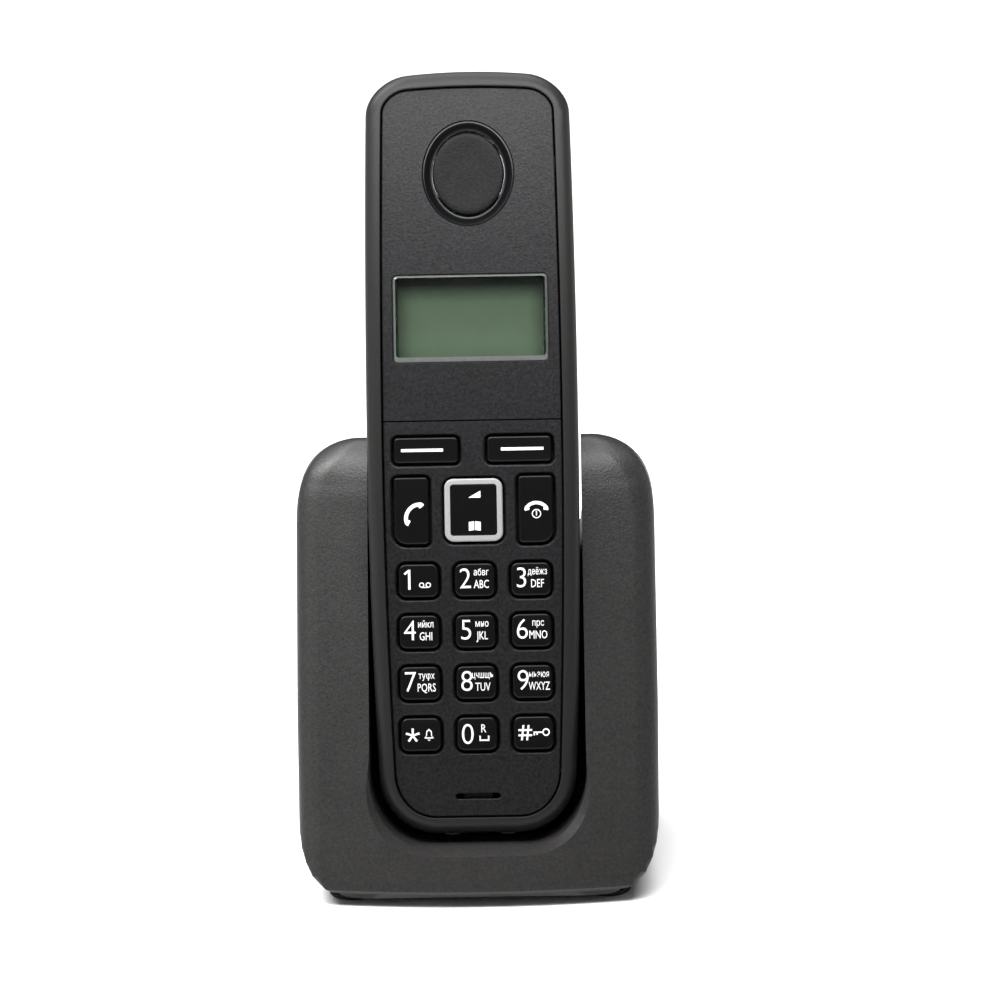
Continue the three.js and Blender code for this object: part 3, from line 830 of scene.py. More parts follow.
class Finishes:
    """Every finish of the phone, each built once and kept by name."""

    HANDSET = Plastic(
        "handset_satin", (0.0092, 0.0088, 0.0085), roughness=0.47, grain=0.42, relief=0.45, specular=0.24
    )
    HANDSET_BACK = Plastic(
        "handset_back_texture", (0.025, 0.024, 0.023), roughness=0.5, grain=0.4, relief=0.3
    )
    PANEL = Plastic(
        "panel_texture",
        (0.0058, 0.0058, 0.0066),
        roughness=0.48,
        grain=0.48,
        relief=1.0,
        mottle=0.85,
        specular=0.2,
    )
    KEY = Plastic(
        "key_satin", (0.0022, 0.0021, 0.0022), roughness=0.33, grain=0.3, relief=0.1, rub=0, specular=0.17
    )
    LEGEND = Plastic(
        "legend_print", (0.8, 0.81, 0.82), roughness=0.55, grain=0.2, relief=0.05, mottle=0.03, rub=0
    )
    NAV_RING = Plastic("nav_ring_white", (0.262, 0.266, 0.266), roughness=0.4, grain=0.3, relief=0.05, rub=0)
    # The bevel band's lighter grey-green is a painted reflection of the light that the clear bevel catches.
    LENS_EDGE = Plastic(
        "lens_bevel_painted_sheen", (0.075, 0.082, 0.076), roughness=0.16, grain=0.8, relief=0.03, mottle=0.12, rub=0
    )
    EAR_RING = Plastic(
        "earpiece_polish", (0.003, 0.003, 0.0034), roughness=0.3, grain=0.6, relief=0.02, rub=0, specular=0.3
    )
    EAR_CAP = Plastic(
        "earpiece_texture",
        (0.0027, 0.0027, 0.0032),
        roughness=0.52,
        grain=0.48,
        relief=1.0,
        mottle=0.85,
        rub=0,
        specular=0.13,
    )
    BASE = Plastic(
        "base_satin",
        (0.0172, 0.0164, 0.016),
        roughness=0.42,
        grain=0.5,
        relief=0.8,
        mottle=0.35,
        specular=0.38,
    )
    BASE_REAR = Plastic("base_rear_texture", (0.026, 0.0245, 0.0238), roughness=0.5, grain=0.42, relief=0.35)
    SOCKET = Plastic(
        "socket_moulding", (0.006, 0.006, 0.0065), roughness=0.28, grain=0.5, relief=0.04, specular=0.4
    )
    # Painted shade: the holder is dark grey rather than its own light colour, where it shows in the gaps
    # beside the display.
    HOLDER = Plastic("display_holder_painted_shade", (0.02, 0.021, 0.022), roughness=0.5)
    MAT = Plastic(
        "key_mat_silicone", (0.012, 0.012, 0.013), roughness=0.7, grain=0.5, relief=0.1, specular=0.3
    )
    PAGE_KEY = Plastic("page_key_satin", (0.014, 0.014, 0.0145), roughness=0.35, grain=0.3, relief=0.08)
    RUBBER = Plastic(
        "foot_rubber", (0.008, 0.008, 0.008), roughness=0.85, grain=0.5, relief=0.4, rub=0.3, specular=0.3
    )
    STEEL = Metal("zinc_steel", (0.62, 0.62, 0.63), roughness=0.32)
    CAN = Metal("speaker_can", (0.52, 0.53, 0.55), roughness=0.38, streak=1.5)
    PLATED = Metal("plated_contact", (0.5, 0.46, 0.38), roughness=0.24, streak=0.4)
    BOARD = CircuitBoard()
    LENS = Lens()

    def __init__(self) -> None:
        """Starts with no material built."""
        self.built: dict[str, bpy.types.Material] = {}

    def get(self, finish: "Finish") -> bpy.types.Material:
        """Returns a finish's material, building it the first time.

        Args:
            finish: The finish.

        Returns:
            The material.
        """
        if finish.name not in self.built:
            self.built[finish.name] = finish.build()
        return self.built[finish.name]


Finish = Plastic | Metal | Lens | DisplayGlass | CircuitBoard | CellWrap
FINISHES = Finishes()


def dress(piece: Piece, finish: "Finish") -> None:
    """Gives a piece one finish all over."""
    piece.data.materials.clear()
    piece.data.materials.append(FINISHES.get(finish))


def body_of(node: str) -> str:
    """Returns the body that a CAD node rides on."""
    bodies = frame["record"]["behaviour"]["bodies"]
    return next(body for body, nodes in bodies.items() if node in nodes)


def fit(
    piece: Piece,
    space: Space,
    finish: "Finish",
    node: str,
    stands_for: Sequence[str] = (),
) -> Piece:
    """Args:
        piece: The piece, modelled in millimetres.
        space: The frame that it was modelled in.
        finish: Its finish.
        node: The CAD node whose body it rides on.
        stands_for: The CAD nodes that it replaces.

    Returns:
        The piece.
    """
    piece.data.transform(space.matrix)
    piece.data.update()
    dress(piece, finish)
    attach(piece, body_of(node))
    if stands_for:
        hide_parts(*stands_for)
    LOG.info("%s: %d faces, rides on %s", piece.name, len(piece.data.polygons), body_of(node))
    return piece


# ---------------------------------------------------------------- handset casing


@dataclass
class HandsetCasing:
    """The handset's rim, rear shell, battery cover and screws, in its own frame.

    Attributes:
        space: The handset's frame.
        widest_at: The height of its widest place.
        top_narrowing: How much each side draws in towards the top.
        bottom_narrowing: How much each side draws in towards the bottom.
        top_corner: The radii of its upper corners.
        bottom_corner: The radii of its lower corners.
        rim_width: The rim's width round the face.
        rim_round: The rounding of the rim's outer edge.
        lip: The depth of the rim's back.
        back_round: The rounding of the rear edge.
        wall: The casing's thickness.
        top_arch: How far the top edge drops from its middle to its ends.
    """

    space: Space
    widest_at: float = 85.0
    top_narrowing: float = 1.15
    bottom_narrowing: float = 1.95
    top_corner: tuple[float, float] = (9.0, 8.4)
    bottom_corner: tuple[float, float] = (12.0, 13.0)
    rim_width: float = 3.3
    rim_round: float = 2.6
    lip: float = 2.2
    back_round: float = 8.0
    wall: float = 1.8
    top_arch: float = 1.9

    def __post_init__(self) -> None:
        """Measures the casing that these pieces stand for."""
        low, high = self.space.box("handset_front_frame")
        self.length = high.z
        self.half_width = high.x
        self.front = low.y
        self.split = high.y
        self.rear_front = self.space.box("handset_rear_shell")[0].y
        self.back = self.space.box("handset_rear_shell")[1].y

    def side(self, height: float) -> float:
        """Returns half of the handset's width at a height.

        Args:
            height: The height.

        Returns:
            Half of the width.
        """
        away = height - self.widest_at
        narrowing = self.top_narrowing if away > 0 else self.bottom_narrowing
        return self.half_width - narrowing * (away / (self.length / 2)) ** 2

    def ring(self, inset: float, depth: float) -> Ring:
        """Returns the handset's outline, drawn in by an inset, at a depth.

        Args:
            inset: How far it is drawn in.
            depth: Its depth.

        Returns:
            The ring, from the bottom middle.
        """
        low, high, corner_steps, side_steps = self.bottom_corner, self.top_corner, 12, 30
        top = self.length - high[1]
        low_centre = (self.side(low[1]) - low[0], low[1])
        high_centre = (self.side(top) - high[0], top)
        right = arc_points(low_centre, (low[0] - inset, low[1] - inset), -90, 90, corner_steps)
        for step in range(1, side_steps):
            height = low[1] + (top - low[1]) * step / side_steps
            right.append((self.side(height) - inset, height))
        right += arc_points(high_centre, (high[0] - inset, high[1] - inset), 0, 90, corner_steps)
        right += [(high_centre[0] * (1 - step / 6), self.length - inset) for step in range(1, 6)]
        outline = right + [(-x, z) for x, z in reversed(right)]
        return [Vector((x, depth, z - self.arch(x, z))) for x, z in outline]

    def arch(self, x: float, z: float) -> float:
        """Returns how far the top edge drops at a place away from its middle."""
        near_top = min(max((z - self.length + 16) / 16, 0), 1)
        return self.top_arch * (x / self.half_width) ** 2 * near_top

    def build(self) -> None:
        """Builds the rim, the rear shell, the cover and the screws."""
        self.front_frame()
        self.rear_shell()
        self.battery_cover()
        self.screws()

    def front_frame(self) -> None:
        """Builds the front half of the casing, a frame round the face."""
        seam = 0.25
        profile = [(seam, self.split), (0.0, self.split - seam), (0.0, self.split / 2)]
        profile += rounded_steps(self.rim_round, self.front, 8)
        inner = self.rim_width
        profile += [(inner - 0.35, self.front), (inner - 0.1, self.front + 0.12), (inner, self.front + 0.4)]
        profile += [(inner, self.lip), (self.wall, self.lip), (self.wall, self.split)]
        rim = loft("casing_rim", [self.ring(inset, depth) for inset, depth in profile], closed=True)
        soften(rim, 38)
        fit(rim, self.space, Finishes.HANDSET, "handset_front_frame", ["handset_front_frame"])

    def rear_shell(self) -> None:
        """Builds the rear half: a round-edged cup with the battery pocket and the screw bosses."""
        seam = 0.25
        inner_round = self.back_round - self.wall
        outer = [(7.9, self.back)]
        middle = self.back - self.back_round
        outer += [(x, 2 * middle - y) for x, y in reversed(self.back_arc(self.back_round))]
        outer += [(0.0, self.rear_front + seam), (seam, self.rear_front), (self.wall, self.rear_front)]
        inner = [(self.wall + x, y) for x, y in self.rear_steps(inner_round, self.back - self.wall)]
        shell = loft("casing_back", [self.ring(inset, depth) for inset, depth in outer + inner])
        self.add_pocket(shell)
        self.add_bosses(shell)
        self.cut_details(shell)
        soften(shell, 34)
        fit(shell, self.space, Finishes.HANDSET_BACK, "handset_rear_shell", ["handset_rear_shell"])

    def back_arc(self, radius: float) -> Points:
        """Returns a rounding's (inset, depth) steps, mirrored in depth."""
        return rounded_steps(radius, self.back - 2 * self.back_round, 10)[:-1]

    def rear_steps(self, radius: float, back: float) -> Points:
        """Returns the (inset, depth) steps of an edge that rounds over towards the back."""
        return [(x, 2 * back - y) for x, y in rounded_steps(radius, back, 10)]

    def add_pocket(self, shell: Piece) -> None:
        """Joins the battery pocket's walls to the shell and opens its mouth.

        Args:
            shell: The rear shell.
        """
        low, high = self.space.box("battery_cover")
        clear, wall, floor = 0.3, 1.3, self.rear_front + 1.3
        inner_low = Vector((low.x - clear, floor, low.z - clear))
        inner_high = Vector((high.x + clear, self.back + 5, high.z + clear))
        outside = [(-wall, self.rear_front), (-wall, self.back - 0.9)]
        inside = [(0, floor), (0, self.back - 0.35), (-0.35, self.back + 0.02), (-0.35, self.back + 5)]
        combine(shell, box_loft("pocket_walls", inner_low, inner_high, outside, 1.4), Cut.TOGETHER)
        combine(shell, box_loft("pocket", inner_low, inner_high, inside, 1.4), Cut.AWAY)

    def add_bosses(self, shell: Piece) -> None:
        """Joins a boss for each screw and sinks its holes.

        Args:
            shell: The rear shell.
        """
        for side in ("left", "right"):
            low, high = self.space.box(f"handset_screw_{side}")
            x, z = (low.x + high.x) / 2, (low.z + high.z) / 2
            radius, seat = high.x - x, high.y - 2.1
            combine(shell, rod("boss", 4.0, self.rear_front, self.back - 0.9, x, z), Cut.TOGETHER)
            profile = [(1.6, self.rear_front - 1), (1.6, seat), (radius + 0.3, seat)]
            profile += [(radius + 0.3, self.back - 0.3), (radius + 0.6, self.back + 0.02)]
            profile.append((radius + 0.6, self.back + 2))
            combine(shell, round_loft("screw_hole", x, z, profile), Cut.AWAY)

    def cut_details(self, shell: Piece) -> None:
        """Cuts the charging contacts' slots and the ringer's sound slots.

        Args:
            shell: The rear shell.
        """
        for side in ("left", "right"):
            low, high = self.space.box(f"charge_contact_{side}")
            clear = Vector((0.3, 0.3, 3))
            combine(shell, block("contact_slot", low - clear, high + clear), Cut.AWAY)
        low, high = self.space.box("ringer_speaker")
        middle = (low.z + high.z) / 2
        for row in range(-2, 3):
            half = 6.5 - 1.1 * abs(row)
            height = middle + 2.6 * row
            corner_low = Vector((-half, 0, height - 0.6))
            corner_high = Vector((half, 0, height + 0.6))
            profile = [(0, self.back - 4), (0, self.back - 0.3)]
            profile += [(-0.3, self.back + 0.02), (-0.3, self.back + 1)]
            combine(shell, box_loft("sound_slot", corner_low, corner_high, profile, 0.6), Cut.AWAY)

    def battery_cover(self) -> None:
        """Builds the battery cover, with a thumb hollow and grip ribs."""
        low, high = self.space.box("battery_cover")
        back_edge = [(x, 2 * self.back - y) for x, y in rounded_steps(0.35, self.back, 4)]
        profile = [(0.2, low.y), (0.0, low.y + 0.2), *back_edge]
        cover = box_loft("pocket_cover", low, high, profile, 1.2)
        top = high.z - 5
        hollow = [(1.4, 0.85), (2.4, 0.7), (3.05, 0.35), (3.2, 0.0), (3.2, -1)]
        rings = [oval_ring(radius * 1.9, radius, self.back - sink, 0, top) for radius, sink in hollow]
        combine(cover, loft("thumb_hollow", rings), Cut.AWAY)
        for rib in range(3):
            height = top - 6.2 - 1.5 * rib
            rib_low = Vector((-5 + rib, 0, height - 0.35))
            rib_high = Vector((5 - rib, 0, height + 0.35))
            steps = [(0.0, self.back - 0.2), (0.0, self.back + 0.05), (0.15, self.back + 0.25)]
            combine(cover, box_loft("rib", rib_low, rib_high, steps, 0.35), Cut.TOGETHER)
        soften(cover)
        fit(cover, self.space, Finishes.HANDSET_BACK, "battery_cover", ["battery_cover"])

    def screws(self) -> None:
        """Builds the two casing screws."""
        for side in ("left", "right"):
            node = f"handset_screw_{side}"
            low, high = self.space.box(node)
            centre = ((low.x + high.x) / 2, (low.z + high.z) / 2)
            screw = cross_head_screw(f"casing_screw_{side}", high.x - centre[0], low.y, high.y, centre)
            fit(screw, self.space, Finishes.STEEL, node, [node])


def cross_head_screw(
    name: str, radius: float, tip: float, head: float, centre: tuple[float, float]
) -> Piece:
    """Models a pan-head screw along y, its head towards the back.

    Args:
        name: The piece's name.
        radius: The head's radius.
        tip: The depth of its tip.
        head: The depth of its head's top.
        centre: Its axis, as x and z.

    Returns:
        The screw.
    """
    seat, shank = head - 1.8, 1.3
    threads = int((seat - tip - 0.6) / 0.7)
    profile = [(0.5, tip), (shank * 0.8, tip + 0.5)]
    for turn in range(threads):
        start = tip + 0.6 + 0.7 * turn
        profile += [(shank, start + 0.2), (shank * 0.82, start + 0.5)]
    profile += [(shank, seat), (radius, seat), (radius, head - 0.7)]
    profile += [(radius * 0.9, head - 0.25), (radius * 0.6, head)]
    screw = round_loft(name, *centre, profile, sides=32)
    for across, along in ((1.5, 0.28), (0.28, 1.5)):
        low = (centre[0] - across, head - 0.9, centre[1] - along)
        high = (centre[0] + across, head + 1, centre[1] + along)
        combine(screw, block("cross_slot", low, high), Cut.AWAY)
    soften(screw, 30)
    return screw


# ---------------------------------------------------------------- handset face


@dataclass
class HandsetFace:
    """The two face panels, the earpiece and the display.

    Attributes:
        casing: The casing that the face sits in.
        edge: The rounding of the panels' edges.
        moat: The clearance round each key.
        moat_round: The rounding of the panel's edge at each key.
    """

    casing: HandsetCasing
    edge: float = 0.3
    moat: float = 0.5
    moat_round: float = 0.65

    def build(self) -> None:
        """Builds the panels, the earpiece and the display."""
        self.space = self.casing.space
        self.upper_panel()
        self.lower_panel()
        self.earpiece()
        self.display()

    def sheet(self, name: str) -> Piece:
        """Returns the whole face panel before it is parted in two.

        Args:
            name: The piece's name.

        Returns:
            The panel.
        """
        inset = self.casing.rim_width + 0.3
        back = self.space.box("display_panel")[1].y
        profile = [(inset, back)] + [(inset + x, y) for x, y in rounded_steps(self.edge, 0.0, 4)]
        return loft(name, [self.casing.ring(step, depth) for step, depth in profile])

    def part(self, panel: Piece, height: float, keep_above: bool) -> None:
        """Cuts the panel across at a height, and closes it there.

        Args:
            panel: The panel.
            height: The height.
            keep_above: Whether the upper part stays.
        """
        edit(panel)
        bpy.ops.mesh.bisect(
            plane_co=(0, 0, height),
            plane_no=(0, 0, 1),
            use_fill=True,
            clear_inner=keep_above,
            clear_outer=not keep_above,
        )
        leave_edit()

    def upper_panel(self) -> None:
        """Builds the panel round the earpiece and the display."""
        panel = self.sheet("face_upper")
        self.part(panel, self.space.box("display_panel")[0].z, keep_above=True)
        low, high = self.space.box("earpiece_ring")
        middle = (low.z + high.z) / 2
        half_x, half_z = high.x + 0.3, (high.z - low.z) / 2 + 0.3
        steps = [(0.0, 4.0), (0.0, 0.3), (-0.06, 0.1), (-0.2, -0.02), (-0.2, -1.0)]
        combine(panel, oval_loft("ear_hole", half_x - 0.25, half_z - 0.25, middle, steps), Cut.AWAY)
        low, high = self.space.box("display_window")
        steps = [(-0.1, 4.0), (-0.1, 0.2), (-0.3, -0.02), (-0.3, -1.0)]
        combine(panel, box_loft("window_hole", low, high, steps, 1.0), Cut.AWAY)
        soften(panel, 34)
        fit(panel, self.space, Finishes.PANEL, "display_panel", ["display_panel"])

    def lower_panel(self) -> None:
        """Builds the keypad panel, with a soft-edged hole round each key."""
        panel = self.sheet("face_lower")
        self.part(panel, self.space.box("keypad_panel")[1].z, keep_above=False)
        tools = [self.key_hole(key) for key in key_shapes(self.space)]
        tools.append(self.mic_hole())
        combine(panel, join("key_holes", tools), Cut.AWAY)
        soften(panel, 34)
        fit(panel, self.space, Finishes.PANEL, "keypad_panel", ["keypad_panel"])

    def key_hole(self, key: "KeyShape") -> Piece:
        """Returns the solid that opens the panel round one key.

        Args:
            key: The key.

        Returns:
            The solid.
        """
        steps = [(-self.moat, 4.0)]
        steps += [(-self.moat - x, y) for x, y in rounded_steps(self.moat_round, 0.0, 5)]
        steps.append((steps[-1][0], -1.0))
        return loft("key_hole", [key.ring(inset, y) for inset, y in steps])

    def mic_hole(self) -> Piece:
        """Returns the solid that opens the microphone's slot.

        Returns:
            The solid.
        """
        middle = self.space.middle("microphone").z
        low, high = Vector((-4.7, 0, middle - 0.6)), Vector((4.7, 0, middle + 0.6))
        steps = [(0.0, 1.9), (0.0, 0.2), (-0.2, -0.02), (-0.2, -1.0)]
        return box_loft("mic_hole", low, high, steps, 0.55)

    def earpiece(self) -> None:
        """Builds the polished channel and the textured oval in it."""
        low, high = self.space.box("earpiece_ring")
        middle, half_x, half_z = (low.z + high.z) / 2, high.x, (high.z - low.z) / 2
        cap_low, cap_high = self.space.box("earpiece_cap")
        cap_x, cap_z = cap_high.x, (cap_high.z - cap_low.z) / 2
        width = half_x - cap_x - 0.15
        profile = [(0.0, 2.3), (0.05, 0.45), (0.3, 0.4), (0.5, 0.62), (0.85, 1.05), (1.2, 1.38), (1.55, 1.56)]
        profile += [(width - 0.2, 1.62), (width, 1.65), (width, 2.3)]
        ring = oval_loft("ear_channel", half_x, half_z, middle, profile, closed=True)
        soften(ring, 50)
        fit(ring, self.space, Finishes.EAR_RING, "earpiece_ring", ["earpiece_ring"])
        profile = [(0.0, 2.0), (0.0, 0.95), (0.12, 0.62), (0.4, 0.4), (0.8, 0.3), (1.4, 0.28)]
        profile += [(3.5, 0.4), (6.0, 0.5)]
        cap = oval_loft("ear_oval", cap_x, cap_z, middle, profile)
        soften(cap, 40)
        fit(cap, self.space, Finishes.EAR_CAP, "earpiece_cap", ["earpiece_cap"])

    def display(self) -> None:
        """Builds the clear window, an opaque band over its bevelled edges whose lighter colour is a painted
        reflection, and the display behind it with its painted shade.
        """
        low, high = self.space.box("display_window")
        inner_low, inner_high = low + Vector((0.55, 0, 1.05)), high - Vector((0.55, 0, 0.5))
        profile = [(0.05, high.y), (-0.02, low.y + 0.55), (0.0, low.y + 0.02), (0.12, low.y)]
        window = box_loft("window", inner_low, inner_high, profile, 0.6)
        soften(window, 20)
        fit(window, self.space, Finishes.LENS, "display_window", ["display_window"])
        # An opaque band over the window's bevel, lighter than the display: a painted reflection of the light
        # that the clear bevel catches.
        outer = [box_ring(low, high, 0.02, y, (0.9,) * 4) for y in (high.y, low.y + 0.45)]
        inner = [box_ring(inner_low, inner_high, -0.04, y, (0.6,) * 4) for y in (low.y + 0.03, high.y)]
        sheen_border = loft("window_bevel_painted_sheen", outer + inner, closed=True)
        soften(sheen_border, 20)
        fit(sheen_border, self.space, Finishes.LENS_EDGE, "display_window")
        low, high = self.space.box("lcd_module")
        profile = [(0.0, high.y), (0.0, low.y + 0.15), (0.15, low.y)]
        glass = box_loft("display_glass", low, high, profile, 0.4)
        soften(glass, 20)
        ends = [corner[2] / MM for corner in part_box("lcd_module")]
        # The display's colour carries painted shade at its top and sides; shadow is the painted shade's
        # colour.
        green, shadow = (0.042, 0.063, 0.04), (0.003, 0.0045, 0.0035)
        shade = DisplayGlass("display_grey_green_painted_shade", green, shadow, ends[0], ends[1], high.x)
        fit(glass, self.space, shade, "lcd_module", ["lcd_module"])


# ---------------------------------------------------------------- keys


@dataclass(frozen=True)
class KeyShape:
    """A key's outline, measured from its CAD node.

    Attributes:
        node: The CAD node.
        low: Its lowest corner in the handset's frame.
        high: Its highest corner.
        corners: The radii at lower left, lower right, upper right and upper left.
    """

    node: str
    low: Vector
    high: Vector
    corners: tuple[float, float, float, float]

    def ring(self, inset: float, depth: float) -> Ring:
        """Returns the key's outline, drawn in by an inset, at a depth."""
        return box_ring(self.low, self.high, inset, depth, self.corners)

    @property
    def centre(self) -> Vector:
        """The key's middle."""
        return (self.low + self.high) / 2


def key_shapes(space: Space) -> list[KeyShape]:
    """Lists every key of the handset.

    Args:
        space: The handset's frame.

    Returns:
        The keys' shapes.
    """
    special = {
        "talk_key": (2.6, 0.8, 0.8, 0.8),
        "end_key": (0.8, 2.6, 0.8, 0.8),
        "nav_key": (1.9,) * 4,
        "soft_key_left": (0.9,) * 4,
        "soft_key_right": (0.9,) * 4,
    }
    dial = [f"key_{name}" for name in (*range(10), "star", "hash")]
    return [KeyShape(node, *space.box(node), special.get(node, (1.5,) * 4)) for node in (*dial, *special)]


@dataclass
class Keypad:
    """The keys and the legends printed on them.

    Attributes:
        space: The handset's frame.
        edge: The rounding of a key's front edge.
    """

    space: Space
    edge: float = 0.45

    def build(self) -> None:
        """Builds every key."""
        for key in key_shapes(self.space):
            if key.node == "nav_key":
                self.rocker(key)
            else:
                self.cap(key)

    def cap(self, key: KeyShape) -> None:
        """Builds one black key, slightly dished.

        Args:
            key: The key.
        """
        front = key.low.y
        profile = [(0.0, key.high.y), (0.0, front + self.edge + 0.3)]
        profile += rounded_steps(self.edge, front, 5)
        profile += [(self.edge + 0.5, front + 0.03), (self.edge + 1.2, front + 0.05)]
        cap = loft(f"cap_{key.node}", [key.ring(inset, y) for inset, y in profile])
        soften(cap, 45)
        fit(cap, self.space, Finishes.KEY, key.node, [key.node])

    def rocker(self, key: KeyShape) -> None:
        """Builds the rocker: a white ring round a black middle.

        Args:
            key: The key.
        """
        front, band = key.low.y, 1.2
        profile = [(0.0, key.high.y), (0.0, front + 0.6)] + rounded_steps(0.4, front, 5)
        profile += [(band - 0.12, front), (band, front + 0.1), (band, key.high.y)]
        ring = loft("rocker_ring", [key.ring(inset, y) for inset, y in profile], closed=True)
        soften(ring, 45)
        fit(ring, self.space, Finishes.NAV_RING, key.node, [key.node])
        inner = band + 0.06
        profile = [(inner, key.high.y - 0.1), (inner, front + 0.35), (inner + 0.1, front + 0.16)]
        profile += [(inner + 0.4, front + 0.08), (inner + 1.5, front + 0.12), (inner + 3.2, front + 0.16)]
        middle = loft("rocker_middle", [key.ring(inset, y) for inset, y in profile])
        soften(middle, 45)
        fit(middle, self.space, Finishes.KEY, key.node)


# ---------------------------------------------------------------- legends


def stamp(name: str, outline: Points, front: float, back: float) -> Piece:
    """Makes a thin printed shape from its outline.

    Args:
        name: The piece's name.
        outline: Its corners, as x and z.
        front: The depth of its face.
        back: The depth of its back.

    Returns:
        The piece.
    """
    return loft(name, [[Vector((x, depth, z)) for x, z in outline] for depth in (back, front)])


def band_stamp(
    name: str, outer: Points, inner: Points, front: float, back: float
) -> Piece:
    """Makes a thin printed line that runs between two outlines with as many corners each.

    Args:
        name: The piece's name.
        outer: The outer outline.
        inner: The inner one.
        front: The depth of its face.
        back: The depth of its back.

    Returns:
        The piece.
    """
    faces = [(outer, back), (outer, front), (inner, front), (inner, back)]
    return loft(name, [[Vector((x, depth, z)) for x, z in line] for line, depth in faces], closed=True)


def lettering(
    text: str, size: float, squeeze: float, place: tuple[float, float], front: float, back: float
) -> Piece:
    """Makes thin printed letters.

    Args:
        text: The letters.
        size: The type's size in millimetres.
        squeeze: How wide the letters are, as a share of their normal width.
        place: The x of their middle and the z of their base line.
        front: The depth of their face.
        back: The depth of their back.

    Returns:
        The piece.
    """
    deselect()
    bpy.ops.object.text_add()
    piece = bpy.context.object
    piece.data.body = text
    piece.data.size = size
    piece.data.offset = -0.01 * size if size > 4 else 0
    piece.data.resolution_u = 6 if size > 4 else 2
    piece.data.extrude = (back - front) / 2
    bpy.ops.object.convert(target="MESH")
    across = [vertex.co.x for vertex in piece.data.vertices]
    shift = place[0] - (min(across) + max(across)) / 2 * squeeze
    lay = Matrix(((squeeze, 0, 0, shift), (0, 0, -1, (front + back) / 2), (0, 1, 0, place[1])))
    piece.data.transform(lay.to_4x4())
    return piece


